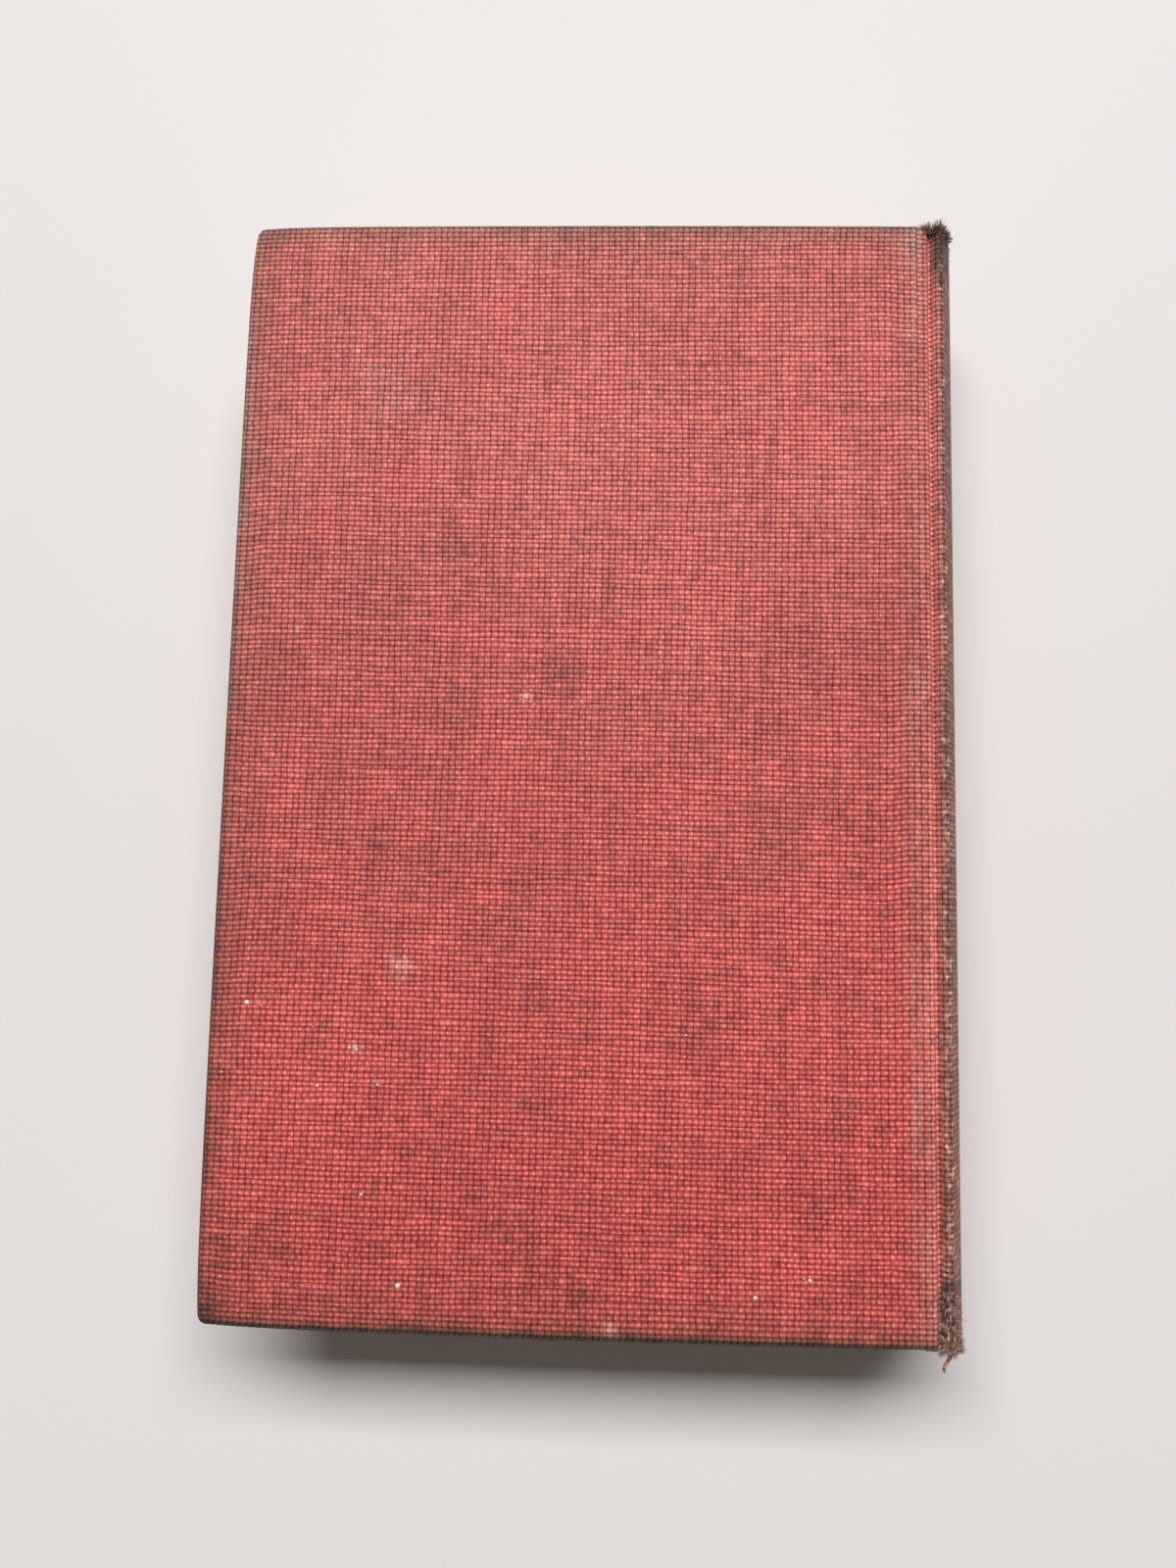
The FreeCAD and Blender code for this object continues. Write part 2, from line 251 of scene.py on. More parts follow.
def woven_cloth():
    """Plain-woven cotton, piece-dyed red and starched. Its colour follows the height of the threads: the
    crests are lighter, partly worn and partly a painted highlight, and the gaps beside each pair of warps and
    between wefts are painted shade. Thick and thin stretches make it slubby. It is nearly matt, and dirt,
    browning and bleaching carry the same painted highlight and shade as the bare threads."""
    cloth, shader = new_material("woven_book_cloth", 0.64, 0.3, 0.1)
    shader.inputs["Sheen Roughness"].default_value = 0.5
    shader.inputs["Sheen Tint"].default_value = linear("#F2B8AC")
    threads = add(cloth, "SeparateXYZ", {0: add(cloth, "UVMap", uv_map="threads")})
    warp, weft = threads.outputs[0], threads.outputs[1]
    pairs = add(cloth, "Math", {0: warp, 1: 0.5}, operation="MULTIPLY")
    gaps, sections, slubs, streaks = [], [], [], []
    for across, along, seed in ((pairs, weft, 3.0), (weft, pairs, 31.0)):
        lane = add(cloth, "Math", {0: across}, operation="FLOOR")
        spread = add(cloth, "Math", {0: lane, 1: 5.7}, operation="MULTIPLY")
        run = add(cloth, "Math", {0: along, 1: 0.55}, operation="MULTIPLY")
        spot = add(cloth, "CombineXYZ", {0: spread, 1: run, 2: seed})
        slub = add(cloth, "TexNoise", {"Vector": spot, "Scale": 1.0, "Detail": 4.0, "Roughness": 0.72})
        inside = add(cloth, "Math", {0: across}, operation="FRACT")
        inside = add(cloth, "Math", {0: inside, 1: 2.0, 2: -1.0}, operation="MULTIPLY_ADD")
        aside = add(cloth, "Math", {0: inside}, operation="ABSOLUTE")
        edge = add(cloth, "MapRange", {0: slub, 1: 0.36, 2: 0.64, 3: 0.25, 4: 0.98}, clamp=False)
        gaps.append(add(cloth, "MapRange", {0: aside, 1: edge, 2: 1.15}, interpolation_type="SMOOTHSTEP"))
        square = add(cloth, "Math", {0: inside, 1: inside}, operation="MULTIPLY")
        sections.append(add(cloth, "Math", {0: 1.0, 1: square}, operation="SUBTRACT", use_clamp=True))
        slubs.append(slub)
        run = add(cloth, "Math", {0: along, 1: 0.045}, operation="MULTIPLY")
        spot = add(cloth, "CombineXYZ", {0: spread, 1: run, 2: seed + 9.0})
        streaks.append(add(cloth, "TexNoise", {"Vector": spot, "Scale": 1.0, "Detail": 2.0}))
    lane = add(cloth, "Math", {0: weft}, operation="FLOOR")
    beat = add(cloth, "Math", {0: warp, 1: lane}, operation="ADD")
    beat = add(cloth, "Math", {0: beat, 1: math.pi, 2: -math.pi / 2}, operation="MULTIPLY_ADD")
    beat = add(cloth, "Math", {0: beat}, operation="COSINE")
    single = add(cloth, "Math", {0: warp}, operation="FRACT")
    single = add(cloth, "Math", {0: single, 1: 2.0, 2: -1.0}, operation="MULTIPLY_ADD")
    single = add(cloth, "Math", {0: single}, operation="ABSOLUTE")
    notch = add(cloth, "MapRange", {0: single, 1: 0.45, 2: 1.0, 3: 0.0, 4: -0.035})
    warp_height = add(cloth, "Math", {0: sections[0], 1: warp_round, 2: notch}, operation="MULTIPLY_ADD")
    warp_height = add(cloth, "Math", {0: beat, 1: -thread_rise, 2: warp_height}, operation="MULTIPLY_ADD")
    weft_height = add(cloth, "Math", {0: gaps[0], 1: -weft_dip}, operation="MULTIPLY")
    weft_section = {0: sections[1], 1: weft_round, 2: weft_height}
    weft_height = add(cloth, "Math", weft_section, operation="MULTIPLY_ADD")
    weft_height = add(cloth, "Math", {0: beat, 1: thread_rise, 2: weft_height}, operation="MULTIPLY_ADD")
    over = add(cloth, "Math", {0: warp_height, 1: weft_height}, operation="GREATER_THAN")
    height = add(cloth, "Math", {0: warp_height, 1: weft_height}, operation="MAXIMUM")
    level = add(cloth, "MapRange", {0: height, 1: -0.01, 2: weft_round + thread_rise})
    # Painted light and shade by the threads' height: brighter on the crests, darker in the gaps.
    painted_relief_light = add(cloth, "MapRange", {0: level, 3: 0.04, 4: 2.15})
    spot = add(cloth, "CombineXYZ", {0: pairs, 1: weft, 2: 17.0})
    filling = add(cloth, "TexNoise", {"Vector": spot, "Scale": 0.8, "Detail": 3.0, "Roughness": 0.7})
    filling = add(cloth, "MapRange", {0: filling, 1: 0.36, 2: 0.64, 3: 0.02, 4: 0.56})
    level = add(cloth, "Math", {0: level, 1: filling}, operation="MAXIMUM")
    tone = add(cloth, "MixRGB", {0: over, 1: slubs[1], 2: slubs[0]})
    place = add(cloth, "TexCoord").outputs["Object"]
    cloud = add(cloth, "TexNoise", {"Vector": place, "Scale": 24.0, "Detail": 3.0, "Roughness": 0.55})
    mottle = add(cloth, "TexNoise", {"Vector": place, "Scale": 210.0, "Detail": 5.0, "Roughness": 0.65})
    fibre = add(cloth, "TexNoise", {"Vector": place, "Scale": 3400.0, "Detail": 3.0, "Roughness": 0.75})
    # The red dye, with painted shade in the gaps and a crest colour that is partly wear and partly painted
    # highlight.
    dye = add(cloth, "ValToRGB", {0: level})
    dye.color_ramp.elements[0].color = linear("#661F1C")
    dye.color_ramp.elements[1].color = linear("#F48680")
    dye.color_ramp.elements[1].position = 1.0
    for position, colour in ((0.38, "#A33431"), (0.74, "#CB524D")):
        dye.color_ramp.elements.new(position).color = linear(colour)
    lift = add(cloth, "MapRange", {0: tone, 1: 0.34, 2: 0.66, 3: 0.72, 4: 1.34})
    shades = (
        (cloud, 0.3, 0.7, 0.89, 1.10), (mottle, 0.40, 0.68, 1.03, 0.92), (fibre, 0.3, 0.7, 0.72, 1.28),
        # These two rows darken the gaps between the threads: painted shade.
        (gaps[0], 0.0, 1.0, 1.0, 0.84), (gaps[1], 0.0, 1.0, 1.0, 0.84),
        (streaks[0], 0.3, 0.7, 0.89, 1.12), (streaks[1], 0.3, 0.7, 0.91, 1.10),
    )
    for pattern, low, high, dark, pale in shades:
        shade = add(cloth, "MapRange", {0: pattern, 1: low, 2: high, 3: dark, 4: pale})
        lift = add(cloth, "Math", {0: lift, 1: shade}, operation="MULTIPLY")
    # The threads' tone times the painted light and shade of their height, also laid on the stains below.
    tone_and_relief_light = add(cloth, "Math", {0: lift, 1: painted_relief_light}, operation="MULTIPLY")
    colour = add(cloth, "MixRGB", {0: 1.0, 1: dye, 2: lift}, blend_type="MULTIPLY")
    # The bleach stain pales the cloth where it is bleached and worn, and also gives the painted sheen towards
    # the head.
    stains = (("fresh", "#C67B70"), ("browned", "#835A4B"), ("grime", "#46322A"), ("bleach_and_sheen", "#E4C3B8"))
    for mark, tint in stains:
        amount = add(cloth, "Attribute", attribute_name=mark).outputs["Fac"]
        amount = add(cloth, "Clamp", {0: amount})
        stain = add(cloth, "MixRGB", {0: 1.0, 1: linear(tint), 2: tone_and_relief_light}, blend_type="MULTIPLY")
        colour = add(cloth, "MixRGB", {0: amount, 1: colour, 2: stain})
    feed(shader, "Base Color", colour)
    grain = add(cloth, "Math", {0: fibre, 1: 0.05, 2: height}, operation="MULTIPLY_ADD")
    bump = add(cloth, "Bump", {"Height": grain, "Distance": mm, "Strength": 0.85})
    feed(shader, "Normal", bump)
    return cloth


cloth_material = woven_cloth()

# Soil on the covers
# Dirt, browning and bleaching lie in the cloth's threads. The edges are rubbed and dirty, and darker along
# the fold at fore edge and tail with painted shade as well as dirt. A band beside the joint is faded, and the
# upper
# half of each cover is a little paler: a painted sheen. A mark on the cloth is a place, a radius and a
# strength, and an edge's dirt is a strength and the length over which it fades.
dark_marks = [
    (-52.8, 80.5, 1.9, 0.44), (-2.2, 36.9, 2.8, 0.34), (-5.6, 14.3, 3.6, 0.46), (-36.2, -15.8, 2.8, 0.30),
    (-58.2, -21.8, 1.8, 0.40), (-58.0, -49.2, 1.7, 0.34), (-0.8, -89.1, 2.8, 0.46), (-24.5, 35.8, 3.6, 0.20),
    (41.7, -57.8, 4.0, 0.24), (16.1, -63.2, 3.4, 0.20), (38.5, -75.0, 3.6, 0.28), (-25.2, 6.3, 4.0, 0.22),
    (49.4, 62.6, 0.55, 0.9), (-41.7, 55.1, 0.45, 0.7), (40.2, 86.1, 0.5, 0.9), (58.0, 43.7, 0.7, 0.9),
    (56.8, -0.4, 0.5, 0.9), (56.7, 10.5, 0.5, 0.8), (-61.0, 93.0, 4.0, 0.4), (-62.0, -93.5, 4.5, 0.4),
    (30.1, -14.4, 8.0, 0.15), (-36.0, -20.8, 9.0, 0.14), (-13.5, -29.4, 7.0, 0.14), (17.6, -44.0, 8.0, 0.12),
    (-9.5, -78.0, 6.0, 0.18), (-53.7, -81.8, 5.0, 0.24), (-39.7, 28.6, 9.0, 0.09), (38.0, -40.0, 9.0, 0.10),
]
pale_marks = [
    (-11.4, 9.6, 0.9, 0.55), (-32.0, -36.4, 1.9, 0.26), (4.4, -93.4, 1.2, 0.26), (-38.9, -50.0, 1.1, 0.30),
    (-34.8, -55.5, 0.6, 0.6), (-51.8, 21.0, 0.6, 0.6), (-43.6, 71.5, 0.5, 0.6), (-55.0, -57.2, 0.8, 0.30),
]
grey_stain = (-38.6, 64.3, 7.0, 0.34)
rim_dirt = (0.62, 0.9)
fore_dirt = (0.50, 4.4)
tail_dirt = (0.56, 3.0)
head_dirt = (0.20, 2.5)
# Darkening along the fold at fore edge and tail: dirt and painted shade.
fold_dirt_and_shade = 0.45
head_browning = (0.80, 2.0)
rim_browning = (0.20, 4.0)
fore_rubbing = (0.25, 1.2)
band_edges = (-4.6, -2.2, -0.8, 0.4)
band_browning = (0.12, 0.26)
band_dirt = 0.08
band_fading = 0.15
# Painted sheen: how much paler the covers grow towards the head.
painted_head_sheen = 0.08
dye_left = 0.04


def spots(x, y, marks):
    """Marks added up: each is 1 in its middle and fades smoothly, with an uneven edge."""
    total = np.zeros(np.broadcast(x, y).shape)
    for number, (mark_x, mark_y, radius, strength) in enumerate(marks):
        away = np.hypot(x - mark_x, y - mark_y)
        ragged = 1 + 0.6 * drift(x, y, radius * 0.6, radius * 0.6, 50 + number)
        broken = 0.75 + 0.5 * drift(x, y, 1.3, 1.1, 80 + number)
        total += strength * broken * smoothly(away, radius * 1.35 * ragged, radius * 0.1)
    return total


def cover_soil(x, y, back):
    """The marks of a cover's cloth at points in millimetres: dirt, browning, bleaching and fresh dye, with a
    painted sheen towards the head and painted shade along the fold at fore edge and tail.
    """
    seed = 100 if back else 200
    to_fore = x - fore_edge
    to_tail, to_head = y + half_height, half_height - y
    rim = np.minimum(np.minimum(to_fore, to_tail), to_head)
    patchy = 0.5 + 0.5 * drift(x, y, 9.0, 7.0, seed)
    fine = 0.5 + 0.5 * drift(x, y, 2.2, 2.4, seed + 1)
    streak = 0.5 + 0.5 * drift(x, y, 0.9, 6.0, seed + 2)
    grime = fading(rim, *rim_dirt) * (0.55 + 0.45 * patchy) + 0.10 * patchy * fine
    grime += (fading(to_fore, *fore_dirt) + fading(to_tail, *tail_dirt)) * (0.5 + 0.7 * fine)
    grime += fading(to_head, *head_dirt) * (0.5 + 0.7 * fine)
    # Darker within a millimetre of the fold at fore edge and tail: dirt and painted shade.
    grime += fold_dirt_and_shade * smoothly(np.minimum(to_fore, to_tail), 1.0, 0.2)
    browned = fading(to_head, *head_browning) * (0.6 + 0.4 * patchy) + fading(rim, *rim_browning)
    rise, top, fall, foot = (board_edge + edge for edge in band_edges)
    band = smoothly(x, rise, top) * smoothly(x, foot, fall)
    browned += band * (band_browning[0] + band_browning[1] * streak * fine)
    grime += band_dirt * band * patchy
    bleach_and_sheen = band * band_fading * streak * patchy
    bleach_and_sheen += fading(to_fore, *fore_rubbing) * fine * smoothly(y, -20, 60)
    # Paler towards the head on each cover: a painted sheen added to the bleaching.
    bleach_and_sheen += painted_head_sheen * smoothly(y, -85, 85) * (0.7 + 0.3 * patchy)
    if back:
        grime += spots(x, y, dark_marks) + 0.6 * spots(x, y, [grey_stain]) * fine
        bleach_and_sheen += spots(x, y, pale_marks) + 0.25 * spots(x, y, [grey_stain])
    return {"browned": browned, "grime": grime, "bleach_and_sheen": bleach_and_sheen, "fresh": np.full_like(grime, dye_left)}


# Cloth over the boards
# The sheet lies on the board's face, goes round its three free edges and is glued down 14 mm inside,
# with mitred corners. Use has bowed its head and tail out, and knocked its fore corners in.
turned_edge = 2 * edge_round
rim_outward = [0.8, 1.2, 1.49, 1.6, 1.6, 1.49, 0.8]
rim_depth = [0.0, 0.11, 0.4, 0.8, 2.4, 2.8, 3.2]
corner_steps = 6
hidden_inset = 0.6
thread_wander = 0.16
wander_margin = 4.0
head_bow = 0.25
tail_bow = 0.5
joint_bow = 0.25
back_knocks = (0.62, 0.30)
front_knocks = (0.3, 0.3)
bow_reach = 45.0
corner_slope = 0.5
slope_length = 14.0
flat_margin = (1.0, 16.0)
board_swell = 0.16


def worn(points, side):
    """Points of a cover moved as wear has moved them: head and tail bow out, the fore corners are knocked in,
    sharply at the tip and slightly for some way along, and the face swells a little between them."""
    x, y, depth = points.T
    share = (x - fore_edge) / (joint_start - fore_edge)
    bow = 4 * share * (1 - share) * np.where(y > 0, head_bow, tail_bow) + joint_bow * share**2 * (y > 0)
    moved_y = y + np.sign(y) * bow * smoothly(abs(y), half_height - bow_reach, half_height)
    to_head, to_tail, to_fore = half_height - y, half_height + y, x - fore_edge
    to_end = np.minimum(to_head, to_tail)
    knock_head, knock_tail = back_knocks if side > 0 else front_knocks
    near_fore = fading(to_fore, 1, 7.0)
    moved_y -= fading(to_fore, knock_head, 6.0) * fading(to_head, 1, 4.0)
    moved_y += fading(to_fore, knock_tail, 5.0) * fading(to_tail, 1, 4.0)
    moved_x = x + fading(to_head, knock_head * 1.1, 4.5) * near_fore
    moved_x += fading(to_tail, knock_tail, 4.0) * near_fore
    moved_x += fading(to_end, corner_slope, slope_length) * near_fore
    flat = smoothly(to_fore, *flat_margin) * smoothly(to_end, *flat_margin) * smoothly(joint_start - x, 0, 9)
    swell = board_swell * (0.5 + 0.5 * drift(x, y, 31, 37, 91)) * flat * (side > 0)
    lifted = depth - swell * smoothly(depth, 0.4, 0.2)
    return np.column_stack([moved_x, moved_y, lifted])


def cover_cloth(side):
    """Points of the sheet over one board. The face is a grid of half threads that wander a little, and the
    rim is a rounded profile carried along head, fore edge and tail, which turns at a corner."""
    columns = round((joint_start - fore_edge - turned_edge) / warp_pitch)
    rows = 2 * round((2 * half_height - 2 * turned_edge) / weft_pitch)
    i, j = np.meshgrid(np.arange(columns + 1), np.arange(rows + 1), indexing="ij")
    warp, weft = -i, j / 2
    x = joint_start + (fore_edge + turned_edge - joint_start) * i / columns
    y = (2 * j / rows - 1) * (half_height - turned_edge)
    inside = np.minimum(np.minimum(joint_start - x, x - fore_edge), half_height - abs(y))
    free = thread_wander * smoothly(inside, turned_edge, turned_edge + wander_margin)
    free = free * smoothly(joint_start - x, 0, 3)
    seed = 300 if side > 0 else 400
    wander_x = 2.4 * drift(x, y, 38, 52, seed + 4) + 0.8 * drift(np.round(warp / 2), weft, 1, 7, seed)
    wander_x += drift(x, y, 14, 24, seed + 1)
    wander_y = 2.8 * drift(x, y, 47, 29, seed + 5) + drift(np.round(weft), warp, 1, 11, seed + 2)
    wander_y += 0.9 * drift(x, y, 26, 13, seed + 3)
    depth = relief(warp, weft)
    face = np.stack([x + free * wander_x, y + free * wander_y, depth], -1).reshape(-1, 3)
    number = np.arange(face.shape[0]).reshape(i.shape)
    quads = np.stack([number[:-1, :-1], number[1:, :-1], number[1:, 1:], number[:-1, 1:]], -1).reshape(-1, 4)
    faces = quads.tolist()

    turns = np.linspace(0, math.pi / 2, corner_steps + 1)
    base = np.concatenate(
        [number[:, -1], np.full(corner_steps - 1, number[-1, -1]), number[-1, ::-1],
         np.full(corner_steps - 1, number[-1, 0]), number[::-1, 0]]
    )
    angle = np.concatenate(
        [np.full(columns + 1, 0.0), turns[1:-1], np.full(rows + 1, math.pi / 2),
         math.pi / 2 + turns[1:-1], np.full(columns + 1, math.pi)]
    )
    outward = np.stack([-np.sin(angle), np.cos(angle)], -1)
    threads = np.stack([warp, weft], -1).reshape(-1, 2)
    points, uv = [face], [threads]
    travel, last = 0.0, (0.0, 0.0)
    ring = base
    total = len(face)
    for out, down in zip(rim_outward, rim_depth):
        travel += math.hypot(out - last[0], down - last[1])
        last = (out, down)
        rim = face[base, :2] + outward * out
        wraps = threads[base] + outward * travel / (warp_pitch, weft_pitch)
        sunk = relief(*wraps.T)
        upright = min(1.0, down / edge_round)
        rim = rim - outward * (sunk * upright * (out > edge_round))[:, None]
        points.append(np.column_stack([rim, down + sunk * (1 - upright)]))
        uv.append(wraps)
        fresh = np.arange(total, total + len(base))
        total += len(base)
        strip = np.stack([ring[:-1], ring[1:], fresh[1:], fresh[:-1]], -1)
        faces += [quad[1:] if quad[0] == quad[1] else quad for quad in strip.tolist()]
        ring = fresh

    inner_x, inner_y = fore_edge + turn_in, half_height - turn_in
    board_x, board_y = fore_edge + hidden_inset, half_height - hidden_inset
    levels = [
        (inner_x, inner_y, turn_in_depth), (inner_x, inner_y, under_board),
        (board_x, board_y, under_board), (board_x, board_y, cloth_thickness),
    ]
    loops = []
    for loop_x, loop_y, down in levels:
        corners = [(joint_start, loop_y), (loop_x, loop_y), (loop_x, -loop_y), (joint_start, -loop_y)]
        points.append(np.column_stack([corners, np.full(4, down)]))
        uv.append((np.array(corners) - (joint_start, 0)) / (warp_pitch, weft_pitch))
        loops.append(list(range(total, total + 4)))
        total += 4
    mitre = [columns + corner_steps // 2, columns + corner_steps + rows + corner_steps // 2]
    stretches = [(0, mitre[0]), (mitre[0], mitre[1]), (mitre[1], len(base) - 1)]
    for corner, (start, end) in enumerate(stretches):
        faces.append(ring[start : end + 1].tolist() + [loops[0][corner + 1], loops[0][corner]])
        for near, far in zip(loops, loops[1:]):
            faces.append([near[corner], near[corner + 1], far[corner + 1], far[corner]])
    faces.append(loops[-1])
    first = [len(face) + step * len(base) for step in range(len(rim_outward))]
    final = [start + len(base) - 1 for start in first]
    end_cap = number[0].tolist() + first + [loop[0] for loop in loops]
    faces.append(end_cap + [loop[3] for loop in loops[::-1]] + final[::-1])
    return worn(np.concatenate(points), side), faces, np.concatenate(uv)


def to_side(points, side):
    """Points whose third value is a depth below a cover's face, as points of the book."""
    placed = np.array(points, float)
    placed[..., 2] = thickness - placed[..., 2] if side > 0 else placed[..., 2]
    return placed


for side, cover in ((1, "back"), (-1, "front")):
    points, faces, uv = cover_cloth(side)
    soil = cover_soil(points[:, 0], points[:, 1], side > 0)
    soil["grime"] *= 1 - 0.6 * smoothly(points[:, 2], 0.4, 1.2)
    piece = finish_mesh(cover + "_board_cloth", to_side(points, side), faces, cloth_material, uv, marks=soil)
    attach(piece, cover + "_cover")
    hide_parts(cover + "_cover_cloth")

# Cloth in the joints
# Between board and spine the cloth is pressed down into a groove with a hot rod and glued to the mull.
# Its strip runs from the board's face to the shoulder of the spine.
groove_depth = 1.9
groove_floor_radius = 0.35
groove_reach = 1.2
groove_wall_angle = 24.0
board_side_reach = 0.65
shoulder_radius = 1.0
spine_drop = 0.6
fold_thickness = 0.75
fold_length = 2.7
glue_line = 0.02
joint_step = 0.24

spine_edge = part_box("back_joint_cloth")[1].x / mm
spine_bulge = cad_high.x / mm - spine_edge
spine_half = thickness / 2 - spine_drop
spine_radius = (spine_half**2 + spine_bulge**2) / (2 * spine_bulge)
spine_angle = math.asin(spine_half / spine_radius)
spine_centre = cad_high.x / mm - spine_radius
lean = math.radians(groove_wall_angle)
wall_up = np.array([math.sin(lean), -math.cos(lean)])
spine_tangent = np.array([math.sin(spine_angle), math.cos(spine_angle)])


def crossing(point_a, way_a, point_b, way_b):
    """Where two lines of the section cross."""
    along = np.linalg.solve(np.column_stack([way_a, -np.asarray(way_b)]), np.subtract(point_b, point_a))
    return np.asarray(point_a) + along[0] * np.asarray(way_a)


def rounded(points, radii, step):
    """Points along a path of straight runs whose corners are arcs, at most a step apart."""
    path = [np.asarray(points[0], float)]
    for before, corner, after, radius in zip(points, points[1:], points[2:], radii):
        before, corner, after = (np.asarray(point, float) for point in (before, corner, after))
        back = (before - corner) / np.linalg.norm(before - corner)
        ahead = (after - corner) / np.linalg.norm(after - corner)
        half = math.acos(np.clip(back @ ahead, -1, 1)) / 2
        middle = (back + ahead) / np.linalg.norm(back + ahead)
        centre = corner + middle * radius / math.sin(half)
        turn = math.pi / 2 - half
        across = (ahead - back) / np.linalg.norm(ahead - back)
        for share in np.linspace(-1, 1, max(3, math.ceil(2 * turn * radius / step) + 1)):
            tilted = across * math.sin(turn * share) - middle * math.cos(turn * share)
            path.append(centre + radius * tilted)
    path.append(np.asarray(points[-1], float))
    filled = [path[0]]
    for start, end in zip(path, path[1:]):
        count = max(1, math.ceil(np.linalg.norm(end - start) / step))
        filled += [start + (end - start) * share / count for share in range(1, count + 1)]
    return np.array(filled)


def frames(path):
    """Arc length and inward unit normal at each point of a path in the section."""
    steps = np.diff(path, axis=0)
    lengths = np.linalg.norm(steps, axis=1)
    arc = np.concatenate([[0], np.cumsum(lengths)])
    ways = steps / lengths[:, None]
    ways = np.concatenate([ways[:1], ways[:-1] + ways[1:], ways[-1:]])
    ways /= np.linalg.norm(ways, axis=1)[:, None]
    return arc, np.column_stack([-ways[:, 1], ways[:, 0]])


groove_floor = np.array([board_edge + groove_reach, groove_depth])
wall_normal = np.array([-wall_up[1], wall_up[0]])
crest_centre = crossing(groove_floor + wall_normal * shoulder_radius, wall_up, (0, shoulder_radius), (1, 0))
spine_normal = np.array([-spine_tangent[1], spine_tangent[0]])
crest = crossing(groove_floor, wall_up, crest_centre - spine_normal * shoulder_radius, spine_tangent)
joint_corners = [
    (joint_start, 0), (board_edge + board_side_reach, 0), groove_floor, crest, (spine_edge, spine_drop),
]
joint_path = rounded(joint_corners, [edge_round, groove_floor_radius, shoulder_radius], joint_step)
joint_arc, joint_normal = frames(joint_path)


def end_profile(length, fold, turned):
    """Half of a sheet's section along the spine, from its middle to its turned-in end and back under it:
    pairs of place and depth. The sheet is folded over at a half circle."""
    radius = fold / 2
    turn = np.linspace(0, math.pi, 7)
    around = np.column_stack([length - radius + radius * np.sin(turn), radius - radius * np.cos(turn)])
    under = cloth_thickness + glue_line
    lip = [(length - turned, fold), (length - turned, under), (length - radius, under)]
    return np.vstack([around, lip, [(length - radius, cloth_thickness)]])


def lofted(name, rings, material, uv=None, marks=None):
    """A closed skin over closed rings of points, as many in each, with flat ends."""
    count, size = rings.shape[:2]
    number = np.arange(count * size).reshape(count, size)
    around = np.roll(number, -1, axis=1)
    quads = np.stack([number[:-1], around[:-1], around[1:], number[1:]], -1).reshape(-1, 4)
    faces = quads.tolist() + [number[0, ::-1].tolist(), number[-1].tolist()]
    return finish_mesh(name, rings.reshape(-1, 3), faces, material, uv, marks=marks)


def strip_ring(length, fold, turned, step):
    """The closed section of a strip along the spine: an outer line from tail to head, and its folded ends."""
    head = end_profile(length, fold, turned)
    radius = fold / 2
    outer = np.arange(-(length - radius) + step, length - radius - step / 2, step)
    outer = np.column_stack([outer, np.zeros_like(outer)])
    return np.vstack([outer, head, head[::-1] * (-1, 1)])


head_blackening = [(2.9, 91.5, 1.5, 0.9), (2.8, 88.6, 1.5, 0.95), (3.1, 85.6, 1.3, 0.9)]
browning_places = (-90.0, 0.0, 90.0)
browning_starts = (0.75, 1.35, 1.55)
browning_width = 1.7
end_narrowing = 0.8
fresh_dye = 0.48
fresh_edges = (-1.7, -0.9)
spine_browning = (0.62, 0.2, 0.3)
spine_dirt = (0.06, 0.40, 0.34)
head_dirt_share = 0.25
tail_dirt_share = (0.2, 0.6)
scuff_strength = 0.36
scuff_levels = (0.42, 0.18)


def spine_soil(reach, y, back):
    """The marks of the cloth on joint and spine, by its reach past the board's edge: as the cover beside the
    board, fresh in the groove, then ever browner towards the spine, and blackened at the head."""
    marks = cover_soil(board_edge + reach, y, back)
    patchy = 0.5 + 0.5 * drift(reach, y, 4.0, 8.0, 510)
    fine = 0.5 + 0.5 * drift(reach, y, 1.2, 2.0, 511)
    head = smoothly(y, half_height - 10, half_height - 3)
    tail = smoothly(-y, half_height - 14, half_height - 6)
    edge = np.interp(y, browning_places, browning_starts)
    ragged = reach + 0.5 * (fine - 0.5) + 0.4 * (patchy - 0.5)
    wall = smoothly(ragged, edge, edge + browning_width - end_narrowing * np.maximum(head, tail))
    fresh = fresh_dye * smoothly(reach, edge + fresh_edges[0], edge + fresh_edges[1])
    marks["fresh"] += fresh * (1 - wall) * (1 - 0.6 * head)
    even, patches, at_tail = spine_browning
    marks["browned"] += wall * (even + patches * patchy) + at_tail * wall * tail
    sparkle = 0.5 + 0.5 * drift(reach, y, 0.45, 0.5, 512)
    even, patches, specks = spine_dirt
    at_wall = wall * (even + patches * fine * patchy + specks * sparkle)
    marks["grime"] += at_wall + wall * head * head_dirt_share
    even, specks = tail_dirt_share
    marks["grime"] += wall * tail * (even + specks * fine) + spots(reach, y, head_blackening)
    scuffs = wall * scuff_strength * smoothly(sparkle, *scuff_levels) * (1 - head)
    marks["bleach_and_sheen"] = marks["bleach_and_sheen"] * (1 - wall) + scuffs
    return marks


tab_start_depth = 0.8
tab_width = 1.8
tab_dirt_share = 0.4


def turned_end(side, way):
    """Rings of the turned-in edge where it runs on under the joint's strip to the board's corner: the rim's
    profile below the strip, at head or tail, between the cover's face and the board's edge."""
    deep = [(out, down) for out, down in zip(rim_outward, rim_depth) if down >= tab_start_depth]
    profile = deep + [(turned_edge - tab_width, rim_depth[-1]), (turned_edge - tab_width, tab_start_depth)]
    out, down = np.array(profile).T
    y = way * (half_height - turned_edge + out)
    rings = [np.column_stack([np.full(len(y), x), y, down]) for x in (joint_start, board_edge)]
    soil = cover_soil(np.repeat((joint_start, board_edge), len(y)), np.tile(y, 2), side > 0)
    soil["grime"] *= tab_dirt_share
    threads = [
        np.column_stack([(ring[:, 0] - joint_start) / warp_pitch, (y + way * down) / weft_pitch])
        for ring in rings
    ]
    return np.array([worn(ring, side) for ring in rings]), np.vstack(threads), soil


